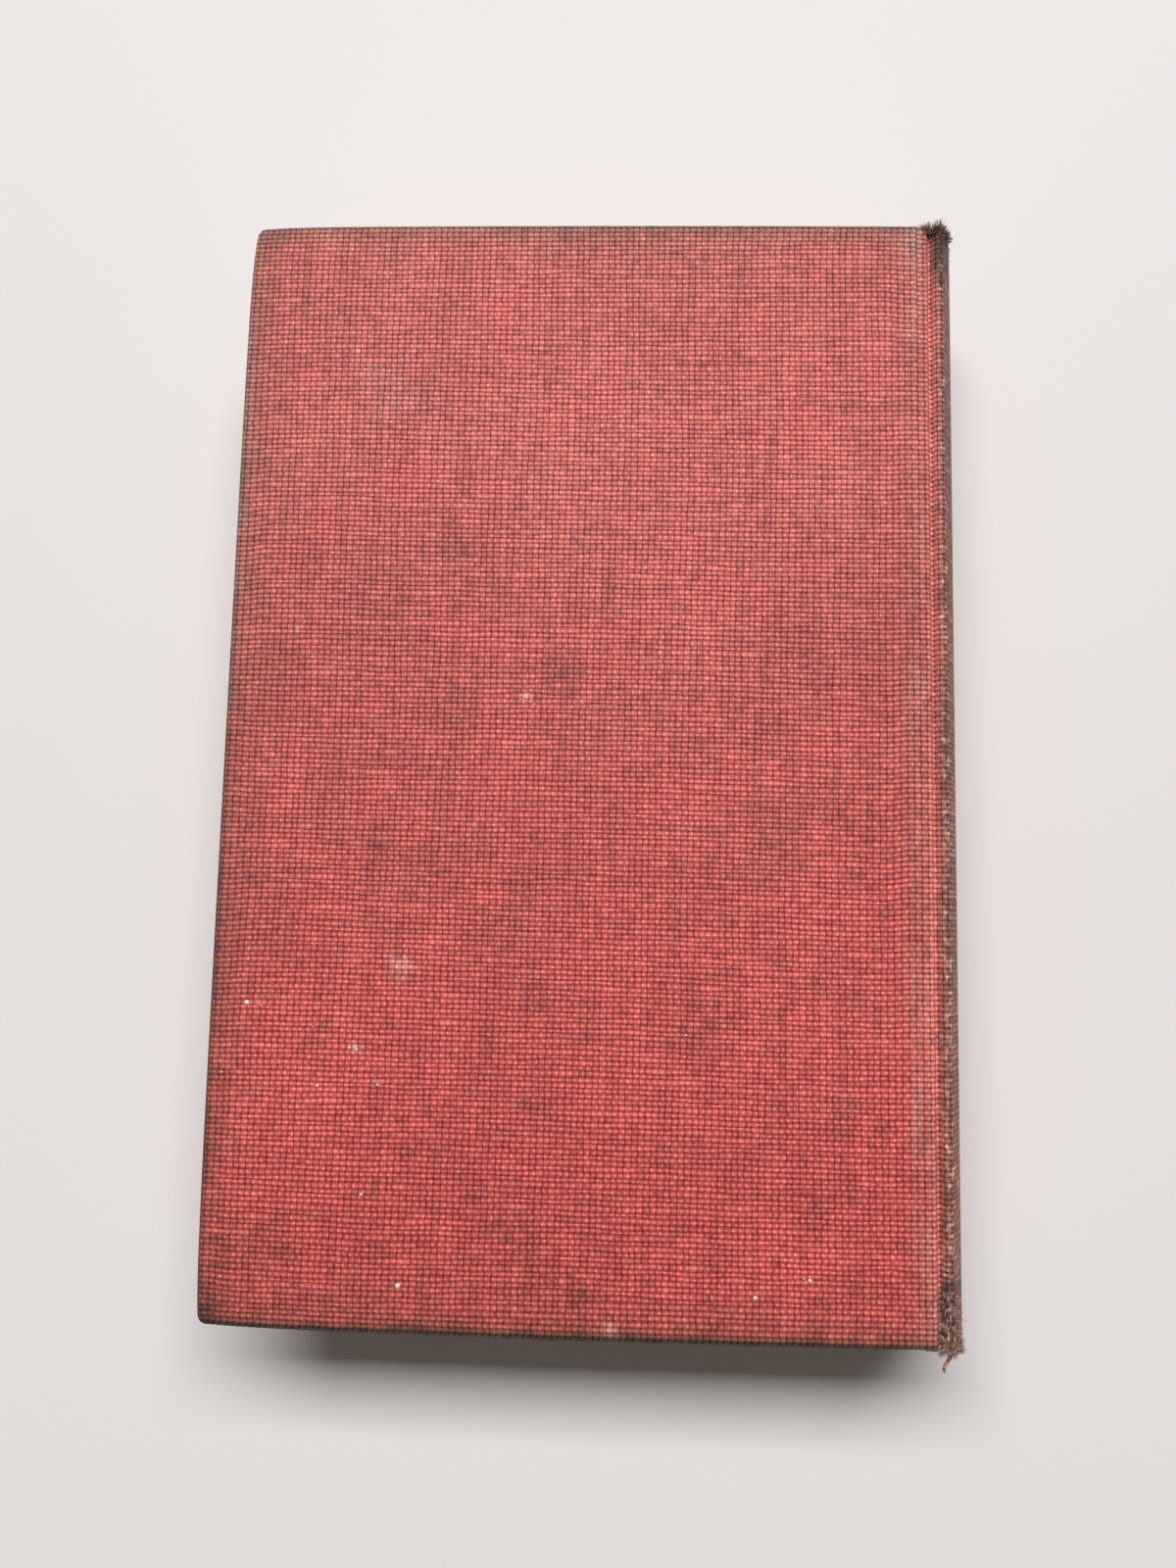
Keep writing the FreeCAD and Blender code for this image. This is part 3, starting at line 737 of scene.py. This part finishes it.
for side, cover in ((1, "back"), (-1, "front")):
    for way, end in ((1, "head"), (-1, "tail")):
        rings, uv, soil = turned_end(side, way)
        piece = lofted(cover + "_" + end + "_turn_in", to_side(rings, side), cloth_material, uv, soil)
        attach(piece, cover + "_cover")
    section = strip_ring(half_height, fold_thickness, fold_length, weft_pitch / 2)
    y, inward = section[:, 0], section[:, 1]
    warp = np.repeat(joint_arc[:, None] / warp_pitch, len(y), 1)
    weft = np.repeat((y + half_height - turned_edge)[None] / weft_pitch, len(joint_arc), 0)
    pressed = 1 - 0.6 * smoothly(joint_path[:, 1], 0.3, 1.2)[:, None]
    sunk = relief(warp, weft) * pressed * (inward == 0)
    offset = inward[None] + sunk
    xz = joint_path[:, None] + joint_normal[:, None] * offset[..., None]
    rings = np.stack([xz[..., 0], np.broadcast_to(y, sunk.shape), xz[..., 1]], -1)
    reach = np.repeat(joint_path[:, 0] - board_edge, len(y))
    soil = spine_soil(reach, np.tile(y, len(joint_arc)), side > 0)
    uv = np.stack([warp, weft], -1).reshape(-1, 2)
    piece = lofted(cover + "_joint_fabric", to_side(rings, side), cloth_material, uv, soil)
    start = to_side([joint_start, 0, 0], side) * mm
    end = to_side([spine_edge, 0, 0], side) * mm
    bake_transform(piece)
    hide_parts(cover + "_joint_cloth")

# Cloth over the spine
# The same sheet goes on round the back, glued to a card strip that stiffens the hollow spine and turned in
# over the card at head and tail. Towards the joints it thins to the bare cloth.
card_inset = math.radians(4.5)
card_thickness = 0.5
spine_turn_in = 12.0
least_fold = 0.05
least_turn_in = 0.6

fold_depth = cloth_thickness + card_thickness + cloth_thickness
spine_steps = round(4 * spine_angle * spine_radius / warp_pitch)
turn = np.linspace(spine_angle, -spine_angle, spine_steps + 1)
spine_arc = joint_arc[-1] + (spine_angle - turn) * spine_radius
fold_share = smoothly(abs(turn), spine_angle, spine_angle - card_inset)

spine_rings = []
widest = strip_ring(half_height, fold_depth, spine_turn_in, weft_pitch / 2)
straight = len(widest) - 2 * len(end_profile(half_height, fold_depth, spine_turn_in))
for angle, share in zip(turn, fold_share):
    fold = max(cloth_thickness + (fold_depth - cloth_thickness) * share, cloth_thickness + least_fold)
    head = end_profile(half_height, fold, least_turn_in + (spine_turn_in - least_turn_in) * share)
    spine_rings.append(np.vstack([widest[:straight], head, head[::-1] * (-1, 1)]))
sections = np.array(spine_rings)
y, inward = sections[..., 0], sections[..., 1]
warp = np.repeat(spine_arc[:, None] / warp_pitch, y.shape[1], 1)
weft = (y + half_height - turned_edge) / weft_pitch
sunk = relief(warp, weft) * (inward == 0)
distance = spine_radius - inward - sunk
cosine, sine = np.cos(turn)[:, None], np.sin(turn)[:, None]
rings = np.stack([spine_centre + distance * cosine, y, thickness / 2 + distance * sine], -1)
reach = spine_edge - board_edge + np.minimum(spine_arc - spine_arc[0], spine_arc[-1] - spine_arc)
soil = spine_soil(np.repeat(reach, y.shape[1]), y.ravel(), True)
uv = np.stack([warp, weft], -1).reshape(-1, 2)
piece = lofted("spine_fabric", rings, cloth_material, uv, soil)
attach(piece, "book_block")
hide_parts("spine_cloth")

# Frayed head and tail
# The cloth is worn through at both ends of the spine. Short curly yarn ends stand out of it, brown with soil
# and a few still red, and one longer thread hangs loose past the tail.
fray_radius = 0.06
fray_wave = 0.08
fray_depth = 0.1
crest_reach = (0.9, 3.4)


def frayed(roots, ways, lengths, radii, curl, random, sides=3, steps=5):
    """Points and faces of many thin closed tubes. Each leaves its root along its way, bends aside with the
    square of the distance and waves once, and thins to half its radius at its tip."""
    along = np.linspace(0, 1, steps)[None, :, None]
    aside = np.cross(ways, random.normal(size=ways.shape))
    aside /= np.linalg.norm(aside, axis=1)[:, None]
    other = np.cross(ways, aside)
    offset = along * ways[:, None] + curl[:, None, None] * along**2 * aside[:, None]
    offset = offset + fray_wave * np.sin(2 * math.pi * along) * other[:, None]
    line = roots[:, None] + lengths[:, None, None] * offset
    angle = 2 * math.pi * np.arange(sides)[None, :, None] / sides
    ring = np.cos(angle) * aside[:, None] + np.sin(angle) * other[:, None]
    size = radii[:, None, None, None] * (1 - 0.5 * along[..., None])
    points = line[:, :, None] + size * ring[:, None]
    number = np.arange(points.shape[0] * steps * sides).reshape(-1, steps, sides)
    around = np.roll(number, -1, axis=2)
    quads = np.stack([number[:, :-1], around[:, :-1], around[:, 1:], number[:, 1:]], -1).reshape(-1, 4)
    caps = number[:, 0, ::-1].tolist() + number[:, -1].tolist()
    return points.reshape(-1, 3), quads.tolist() + caps


def yarn_ends():
    """Loose cotton fibre: fuzzy and matt, olive brown where soil has soaked in, coral where dye shows."""
    yarn, shader = new_material("frayed_cotton_yarn", 0.9, 0.15, 0.3)
    coral = add(yarn, "Attribute", attribute_name="coral")
    place = add(yarn, "TexCoord").outputs["Object"]
    patch = add(yarn, "TexNoise", {"Vector": place, "Scale": 1900.0, "Detail": 3.0})
    patch = add(yarn, "MapRange", {0: patch, 1: 0.38, 2: 0.62})
    soil = add(yarn, "MixRGB", {0: patch, 1: linear("#35261D"), 2: linear("#AD8D76")})
    dyed = add(yarn, "MixRGB", {0: patch, 1: linear("#9C5242"), 2: linear("#F6BCAA")})
    colour = add(yarn, "MixRGB", {0: coral.outputs["Fac"], 1: soil, 2: dyed})
    feed(shader, "Base Color", colour)
    return yarn


yarn_material = yarn_ends()
joint_section = np.column_stack([joint_path, -joint_normal, joint_arc])
spine_section = np.column_stack(
    [spine_centre + spine_radius * np.cos(turn), thickness / 2 - spine_radius * np.sin(turn),
     np.cos(turn), -np.sin(turn), spine_arc]
)


def tuft(random, section, y_range, count, length, spread, outward, lengthwise, coral):
    """Roots, ways, lengths, thickness and colour of yarn ends, at random places on a section of the cloth.
    They lean outwards and along the spine by their shares, and spread from that at random."""
    spot = section[random.integers(0, len(section), count)]
    y = random.uniform(*y_range, count)
    sunk = fray_depth * spot
    roots = np.column_stack([spot[:, 0] - sunk[:, 2], y, thickness - spot[:, 1] + sunk[:, 3]])
    ways = np.column_stack([outward * spot[:, 2], np.full(count, lengthwise), -outward * spot[:, 3]])
    ways = ways + spread * random.normal(size=(count, 3))
    ways /= np.linalg.norm(ways, axis=1)[:, None]
    lengths = random.uniform(*length, count)
    radii = fray_radius * random.uniform(0.7, 1.5, count)
    red = np.clip(random.normal(coral, 0.25, count), 0, 1)
    return roots, ways, lengths, radii, random.normal(0, 0.5, count), red


def fray_piece(name, tufts):
    """One mesh of several tufts."""
    groups = [tuft(yarn_random, *row) for row in tufts]
    roots, ways, lengths, radii, curl, red = (np.concatenate(values) for values in zip(*groups))
    points, faces = frayed(roots, ways, lengths, radii, curl, yarn_random)
    marks = {"coral": np.repeat(red, len(points) // len(red))}
    return finish_mesh(name, points, faces, yarn_material, marks=marks)


yarn_random = np.random.default_rng(41)
worn_joint = joint_section[joint_path[:, 0] > board_edge + groove_reach]
worn_head = joint_section[joint_path[:, 0] > board_edge + 0.2]
past_joint = spine_arc - spine_arc[0]
worn_crest = spine_section[(past_joint > crest_reach[0]) & (past_joint < crest_reach[1])]
head_end = (half_height - 1.4, half_height + 0.15)
head_cut = (half_height - 0.7, half_height - 0.1)
below_head = (half_height - 10, half_height - 2)
tail_end = (-half_height - 0.1, -half_height + 1.2)
tail_cut = (-half_height, -half_height + 0.7)
torn_tail = (-half_height + 0.2, -half_height + 9.0)

# Where, how many, how long, how far spread, leaning outwards, leaning along the spine, share of dye left
joint_tufts = (
    (worn_head, head_end, 300, (0.6, 1.4), 0.9, 0.9, 0.15, 0.04),
    (worn_joint, tail_end, 150, (0.7, 1.5), 0.45, 0.2, -1.0, 0.12),
    (worn_joint, torn_tail, 150, (0.5, 1.1), 0.35, 0.30, -0.9, 0.5),
)
spine_tufts = (
    (worn_crest, head_end, 260, (0.5, 1.1), 0.8, 0.5, 0.3, 0.04),
    (worn_crest, tail_end, 220, (0.6, 1.3), 0.45, 0.1, -1.0, 0.12),
    (worn_crest, torn_tail, 150, (0.5, 1.2), 0.35, 0.15, -0.9, 0.6),
    (worn_crest, below_head, 14, (0.3, 0.6), 0.9, 0.7, 0.2, 0.3),
    (spine_section, head_cut, 170, (0.25, 0.5), 0.6, 0.15, 0.5, 0.08),
    (spine_section, tail_cut, 170, (0.25, 0.6), 0.5, 0.1, -0.8, 0.12),
)
piece = fray_piece("back_joint_fray", joint_tufts)
start = to_side([joint_start, 0, 0], 1) * mm
end = to_side([spine_edge, 0, 0], 1) * mm
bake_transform(piece)
piece = fray_piece("spine_fray", spine_tufts)
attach(piece, "book_block")

loose_root = np.array([(59.1, -94.4, 29.5)])
loose_way = np.array([(-0.02, -0.90, -0.44)])
loose_length, loose_radius, loose_curl = (np.array([value]) for value in (5.9, 0.46, 0.08))
loose_random = np.random.default_rng(5)
points, faces = frayed(
    loose_root, loose_way, loose_length, loose_radius, loose_curl, loose_random, sides=6, steps=16
)
loose_dye = np.full(len(points), 0.85)
piece = finish_mesh("loose_thread", points, faces, yarn_material, marks={"coral": loose_dye})
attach(piece, "book_block")

# Paint flecks
# White wall paint that has splashed on the back cover. Each fleck has dried as a low dome, stuck to the
# threads under it, and is a place and a radius.
fleck_height = 0.07
fleck_sides = 9
fleck_profile = ((1.0, 0.12), (0.9, 0.0), (0.5, -0.6 * fleck_height))
flecks = [
    (-30.2, -87.4, 0.50), (27.8, -87.5, 0.38), (36.6, -84.7, 0.32), (-36.8, -73.4, 0.28),
    (-44.9, -56.3, 0.27), (-57.4, -43.0, 0.42), (-34.8, -55.9, 0.20), (-38.5, -50.3, 0.20),
    (-39.8, -50.1, 0.20), (-51.8, 21.0, 0.18), (35.6, -84.4, 0.18), (27.5, -1.2, 0.18),
    (16.2, -46.6, 0.17), (-54.9, -43.4, 0.18), (-43.7, 71.6, 0.17), (-46.0, -46.7, 0.16),
    (-61.0, -54.5, 0.20), (-59.6, -87.2, 0.16), (-11.5, 10.1, 0.20), (-10.4, 8.4, 0.20),
    (-12.8, 9.2, 0.18),
]


def paint_flecks():
    """Low domes on a flat foot: rings of an uneven outline that shrink to a middle point as they rise."""
    random = np.random.default_rng(12)
    angle = 2 * math.pi * np.arange(fleck_sides) / fleck_sides
    cosine, sine = np.cos(angle), np.sin(angle)
    points, faces = [], []
    for x, y, radius in flecks:
        outline = radius * random.uniform(0.65, 1.2, fleck_sides)
        first = len(points) * (3 * fleck_sides + 1)
        rings = []
        for share, down in fleck_profile:
            across, along = outline * share * cosine, outline * share * sine
            rings.append(np.column_stack([x + across, y + along, np.full(fleck_sides, down)]))
        points.append(np.vstack(rings + [[(x, y, -fleck_height)]]))
        number = first + np.arange(3 * fleck_sides).reshape(3, fleck_sides)
        around = np.roll(number, -1, axis=1)
        faces += np.stack([number[:-1], around[:-1], around[1:], number[1:]], -1).reshape(-1, 4).tolist()
        top = np.full(fleck_sides, first + 3 * fleck_sides)
        faces += np.stack([number[-1], around[-1], top], -1).tolist() + [number[0, ::-1].tolist()]
    return to_side(worn(np.concatenate(points), 1), 1), faces


def dried_paint():
    """White wall paint, chalky with dust in its fine pores."""
    paint, shader = new_material("dried_white_paint", 0.5, 0.45)
    place = add(paint, "TexCoord").outputs["Object"]
    dust = add(paint, "TexNoise", {"Vector": place, "Scale": 2500.0, "Detail": 2.0})
    colour = add(paint, "MixRGB", {0: dust, 1: linear("#CFC6C2"), 2: linear("#FBF8F6")})
    feed(shader, "Base Color", colour)
    return paint


points, faces = paint_flecks()
piece = finish_mesh("paint_flecks", points, faces, dried_paint())
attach(piece, "back_cover")

# Text block
# Sewn gatherings of toned book paper, trimmed, rounded and backed. Seen from outside it is some two hundred
# leaf edges, each a little further in or out than the next, which bend up at the shoulders.
paper_thickness = 0.15
mull_thickness = 0.2
layer_gap = 0.02
leaf_count = 216
gatherings = 18
leaf_unevenness = 0.045
gathering_unevenness = 0.05
most_unevenness = 0.14
leaf_margin = 0.1
leaf_wave = 0.09
leaf_ripple = 0.035
tail_wave = 0.06
fore_columns = 62
bend_start = 0.955
fore_edge_hollow = 3.2
shoulder_bend = 2.65
gathering_bulge = 0.12
kerf_rows = 5
kerf_end = 14.0
kerf_width = 0.44
kerf_depth = 0.42

block_low, block_high = (np.array(corner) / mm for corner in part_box("text_block"))
page_half = block_high[1]
flat_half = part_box("back_flyleaf")[0].z / mm - thickness / 2
tip_half = block_high[2] - thickness / 2
layers = cloth_thickness + mull_thickness + paper_thickness + paper_thickness + 3 * layer_gap
wall_line = groove_floor + wall_normal * layers
foot = crossing((0, thickness / 2 - flat_half), (1, 0), wall_line, wall_up)
tip = crossing((0, thickness / 2 - tip_half), (1, 0), wall_line, wall_up)
flank = rounded([(block_low[0], thickness / 2 - flat_half), foot, tip], [shoulder_bend], 0.2)
back_bulge = block_high[0] - gathering_bulge - tip[0]
back_radius = (tip_half**2 + back_bulge**2) / (2 * back_bulge)
back_centre = tip[0] + back_bulge - back_radius


def leaf_waves(along, share, wave_cells, ripple_cells, seed):
    """How far the leaf edges stand out: slow waves and finer ripples, along them and through the block."""
    slow = leaf_wave * drift(along, share * 9, *wave_cells, seed)
    return slow + leaf_ripple * drift(along, share * 40, *ripple_cells, seed + 1)


def block_rings():
    """One ring for each leaf edge, as head, fore edge, tail and back. A leaf lies at its share of half the
    block, which grows at the shoulder, and its ends follow the hollow fore edge and the round back."""
    share = np.linspace(-1, 1, leaf_count + 1)
    level = share[:, None]
    random = np.random.default_rng(7)
    uneven = leaf_unevenness * random.normal(0, 1, share.shape)
    group = np.floor((share + 1) / 2 * gatherings * 0.9999)
    uneven += gathering_unevenness * random.normal(0, 1, gatherings + 1)[group.astype(int)]
    uneven = np.clip(uneven, -most_unevenness, most_unevenness)[:, None]
    fore = block_low[0] + fore_edge_hollow * (1 - share**2)
    within = (share + 1) / 2 * gatherings % 1
    ridge = gathering_bulge * 4 * within * (1 - within)
    back = back_centre + np.sqrt(back_radius**2 - (share * tip_half) ** 2) + ridge
    along = np.concatenate([np.linspace(0, bend_start, 80), np.linspace(bend_start, 1, 26)[1:]])
    x_line = fore[:, None] + (back - fore)[:, None] * along
    half = thickness / 2 - np.interp(x_line, flank[:, 0], flank[:, 1])
    z_line = thickness / 2 + level * half
    slow = leaf_waves(x_line, level, (11, 1.6), (5, 1), 71)
    edge = page_half - leaf_margin + uneven + slow
    tail_edge = tail_wave * drift(x_line, level * 30, 7, 1, 75) - edge
    head = np.stack([x_line, edge, z_line], -1)[:, ::-1]
    tail = np.stack([x_line, tail_edge, z_line], -1)

    y_fore = np.linspace(1, -1, fore_columns + 2)[1:-1]
    wave = leaf_waves(y_fore * page_half, level, (13, 1.5), (6, 1), 73)
    fore_x = fore[:, None] + leaf_margin - uneven - wave
    fore_y = np.broadcast_to(y_fore * page_half, fore_x.shape)
    fore_z = thickness / 2 + level * np.full_like(fore_x, flat_half)
    fore_line = np.stack([fore_x, fore_y, fore_z], -1)

    first = -page_half + kerf_end
    kerfs = [first + number * -2 * first / (kerf_rows - 1) for number in range(kerf_rows)]
    kerf_corners = ((-1, 0), (-1, 1), (1, 1), (1, 0))
    places = [(kerf + way * kerf_width / 2, cut) for kerf in kerfs for way, cut in kerf_corners]
    y_back, cut = (np.array(values) for values in zip(*places))
    back_x = back[:, None] - cut * kerf_depth
    back_z = thickness / 2 + level * tip_half * np.ones_like(cut)
    spine = np.stack([back_x, np.broadcast_to(y_back, back_x.shape), back_z], -1)
    rings = np.concatenate([head, fore_line, tail, spine], 1)
    return rings, len(along)


def book_paper():
    """Machine-made book paper, browned by age from its edges: a matt stack of fine lines, each leaf a little
    lighter or darker, with dust in the gaps."""
    paper, shader = new_material("aged_book_paper", 0.9, 0.2)
    leaves = add(paper, "SeparateXYZ", {0: add(paper, "UVMap", uv_map="leaves")})
    leaf = add(paper, "Math", {0: leaves.outputs[1]}, operation="FLOOR")
    tone = add(paper, "TexWhiteNoise", {"W": leaf}, noise_dimensions="1D")
    along = add(paper, "Math", {0: leaves.outputs[0], 1: 0.06}, operation="MULTIPLY")
    stretched = add(paper, "CombineXYZ", {0: along, 1: leaves.outputs[1]})
    fine = add(paper, "TexNoise", {"Vector": stretched, "Scale": 1.3, "Detail": 4.0, "Roughness": 0.75})
    place = add(paper, "TexCoord").outputs["Object"]
    cloud = add(paper, "TexNoise", {"Vector": place, "Scale": 55.0, "Detail": 3.0})
    ramp = add(paper, "ValToRGB", {0: fine})
    ramp.color_ramp.elements[0].color = linear("#8C6F4C")
    ramp.color_ramp.elements[0].position = 0.28
    ramp.color_ramp.elements[1].color = linear("#D9C39A")
    ramp.color_ramp.elements[1].position = 0.66
    lift = add(paper, "MapRange", {0: tone.outputs[0], 3: 0.86, 4: 1.08})
    cloudy = add(paper, "MapRange", {0: cloud, 1: 0.3, 2: 0.7, 3: 0.86, 4: 1.06})
    lift = add(paper, "Math", {0: lift, 1: cloudy}, operation="MULTIPLY")
    colour = add(paper, "MixRGB", {0: 1.0, 1: ramp, 2: lift}, blend_type="MULTIPLY")
    feed(shader, "Base Color", colour)
    bump = add(paper, "Bump", {"Height": fine, "Distance": 0.08 * mm, "Strength": 0.7})
    feed(shader, "Normal", bump)
    return paper


rings, run = block_rings()
count, size = rings.shape[:2]
number = np.arange(count * size).reshape(count, size)
around = np.roll(number, -1, axis=1)
faces = np.stack([number[:-1], around[:-1], around[1:], number[1:]], -1).reshape(-1, 4).tolist()
for leaf in (0, -1):
    head, fore, tail, back = np.split(number[leaf], [run, run + fore_columns, 2 * run + fore_columns])
    tail = tail[::-1]
    faces += np.stack([head[:-1], head[1:], tail[1:], tail[:-1]], -1).tolist()
    faces.append([head[-1]] + fore.tolist() + [tail[-1]])
    faces.append([tail[0]] + back.tolist() + [head[0]])
middle_steps = np.diff(rings[count // 2, :, :2], axis=0)
outline = np.concatenate([[0], np.cumsum(np.linalg.norm(middle_steps, axis=1))])
uv = np.stack(np.broadcast_arrays(outline[None], np.arange(count)[:, None]), -1).reshape(-1, 2)
points = rings.reshape(-1, 3)
piece = finish_mesh("page_stack", points, faces, book_paper(), uv, uv_name="leaves", sharp=50)
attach(piece, "book_block")
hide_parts("text_block")

# Endpapers
# A folded sheet of cream wove paper at each end: one half pasted to the board over the turn-ins, one half
# free. It has foxed.
shoulder_depth = 1.4
joint_layer_bend = 1.8
strip_step = 0.12

mull_offset = cloth_thickness + layer_gap
paper_offset = mull_offset + mull_thickness + layer_gap
paper_level = under_board + mull_thickness + layer_gap


def endpaper():
    """Cream wove paper, matt, with brown fox marks."""
    paper, shader = new_material("foxed_wove_endpaper", 0.88, 0.22)
    place = add(paper, "TexCoord").outputs["Object"]
    cloud = add(paper, "TexNoise", {"Vector": place, "Scale": 30.0, "Detail": 4.0})
    fox = add(paper, "TexNoise", {"Vector": place, "Scale": 260.0, "Detail": 2.0})
    grain = add(paper, "TexNoise", {"Vector": place, "Scale": 2600.0, "Detail": 3.0})
    ground = add(paper, "MixRGB", {0: cloud, 1: linear("#E8D9B6"), 2: linear("#D5BF93")})
    spot = add(paper, "MapRange", {0: fox, 1: 0.68, 2: 0.76, 3: 0.0, 4: 0.5})
    colour = add(paper, "MixRGB", {0: spot, 1: ground, 2: linear("#9A6A3A")})
    feed(shader, "Base Color", colour)
    bump = add(paper, "Bump", {"Height": grain, "Distance": 0.03 * mm, "Strength": 0.6})
    feed(shader, "Normal", bump)
    return paper


endpaper_material = endpaper()


def dress(node, material):
    """A CAD node keeps its shape and takes a material."""
    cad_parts[node].data.materials.clear()
    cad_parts[node].data.materials.append(material)


def flank_strip(level, offset, sheet, half_length):
    """Rings of a thin strip that starts at the board's inner edge and bends up inside the groove's wall."""
    line = groove_floor + wall_normal * offset
    bottom = crossing((0, level), (1, 0), line, wall_up)
    rise = crossing((0, shoulder_depth), (1, 0), line, wall_up)
    path = rounded([(board_edge + layer_gap, level), bottom, rise], [joint_layer_bend], strip_step)
    normal = frames(path)[1]
    ring = np.array([(-half_length, 0), (half_length, 0), (half_length, sheet), (-half_length, sheet)])
    xz = path[:, None] + normal[:, None] * ring[None, :, 1:]
    return np.stack([xz[..., 0], np.broadcast_to(ring[:, 0], xz.shape[:2]), xz[..., 1]], -1)


# Mull
# Open starched cotton, glued round the back of the block and pasted to the inside of both boards. It carries
# the block in its case, and in the joint it lies between the cloth and the endpaper.
mull_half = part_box("spine_mull")[1].y / mm
blend_inset = 1.0


def open_cotton():
    """Starched gauze under paste: pale threads a good millimetre apart, with darker paste between them."""
    gauze, shader = new_material("starched_cotton_mull", 0.85, 0.25)
    place = add(gauze, "TexCoord").outputs["Object"]
    holes = add(gauze, "TexBrick", {"Vector": place, "Scale": 420.0, "Mortar Size": 0.04}, offset=0.0)
    holes.inputs["Color1"].default_value = linear("#9C8C6C")
    holes.inputs["Color2"].default_value = linear("#8D7C5C")
    holes.inputs["Mortar"].default_value = linear("#D9CFB4")
    holes.inputs["Brick Width"].default_value = 0.5
    holes.inputs["Row Height"].default_value = 0.5
    feed(shader, "Base Color", holes)
    bump = add(gauze, "Bump", {"Height": holes.outputs[1], "Distance": 0.08 * mm, "Strength": 0.6})
    feed(shader, "Normal", bump)
    return gauze


mull_material = open_cotton()
gauze_section = (under_board, mull_offset, mull_thickness, mull_half)
paper_section = (paper_level, paper_offset, paper_thickness, page_half)
strips = (
    ("joint_gauze", "joint_mull", mull_material, "mull", gauze_section),
    ("joint_paper", "joint_endpaper", endpaper_material, "endpaper", paper_section),
)
for side, cover in ((1, "back"), (-1, "front")):
    for name, node, material, slot, strip_section in strips:
        rings = flank_strip(*strip_section)
        piece = lofted(cover + "_" + name, to_side(rings, side), material)
        start = to_side([board_edge, 0, 0], side) * mm
        end = to_side([spine_edge - blend_inset, 0, 0], side) * mm
        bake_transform(piece)
        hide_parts(cover + "_" + node)
    dress(cover + "_pastedown", endpaper_material)
    dress(cover + "_flyleaf", endpaper_material)
    dress(cover + "_mull_flange", mull_material)
dress("spine_mull", mull_material)

# Boards, card and lining
# The covers are stiffened by strawboard, cut square, whose outline is worn with the cloth's. A strip of thin
# grey card stiffens the hollow back, and brown paper is glued over the mull.
board_corner = 1.15
corner_step = 0.4


def flecked_board(name, ground, fleck, scale):
    """Pulp board: dull, with straw and fibre flecks pressed flat in it."""
    pulp, shader = new_material(name, 0.92, 0.15)
    place = add(pulp, "TexCoord").outputs["Object"]
    flecks = add(pulp, "TexNoise", {"Vector": place, "Scale": scale, "Detail": 5.0, "Roughness": 0.75})
    colour = add(pulp, "ValToRGB", {0: flecks})
    colour.color_ramp.elements[0].color = linear(fleck)
    colour.color_ramp.elements[0].position = 0.35
    colour.color_ramp.elements[1].color = linear(ground)
    colour.color_ramp.elements[1].position = 0.6
    feed(shader, "Base Color", colour)
    bump = add(pulp, "Bump", {"Height": flecks, "Distance": 0.1 * mm, "Strength": 0.6})
    feed(shader, "Normal", bump)
    return pulp


strawboard = flecked_board("pressed_strawboard", "#B99A5E", "#7E6234", 700.0)
for side, cover in ((1, "back"), (-1, "front")):
    low, high = (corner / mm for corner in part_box(cover + "_board"))
    corners = [(high.x, high.y), (low.x, high.y), (low.x, low.y), (high.x, low.y)]
    outline = rounded(corners, [board_corner, board_corner], corner_step)
    faces_at = (cloth_thickness, under_board)
    rings = [np.column_stack([outline, np.full(len(outline), down)]) for down in faces_at]
    rings = np.array([worn(ring, side) for ring in rings])
    piece = lofted(cover + "_strawboard", to_side(rings, side), strawboard)
    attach(piece, cover + "_cover")
    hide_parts(cover + "_board")
dress("spine_card", flecked_board("grey_pulp_card", "#A08C70", "#6F5D46", 900.0))
dress("spine_lining", flecked_board("brown_lining_paper", "#9B7548", "#6E4F2C", 1500.0))

# Sewing thread
# Unbleached linen that sews the leaves through the fold of each gathering. It crosses the back in five
# rows, where it lies pressed flat in the kerfs.


def linen():
    """Two-ply linen thread: pale, with fine slanting twist."""
    flax, shader = new_material("unbleached_linen_thread", 0.8, 0.3)
    place = add(flax, "TexCoord").outputs["Object"]
    slanted = add(flax, "Mapping", {0: place, 2: (0.0, math.radians(35), 0.0)})
    twist = add(flax, "TexWave", {"Vector": slanted, "Scale": 900.0, "Distortion": 1.5})
    colour = add(flax, "MixRGB", {0: twist, 1: linear("#9C8A66"), 2: linear("#DCD0B0")})
    feed(shader, "Base Color", colour)
    bump = add(flax, "Bump", {"Height": twist, "Distance": 0.06 * mm, "Strength": 0.8})
    feed(shader, "Normal", bump)
    return flax


dress("sewing_thread", linen())
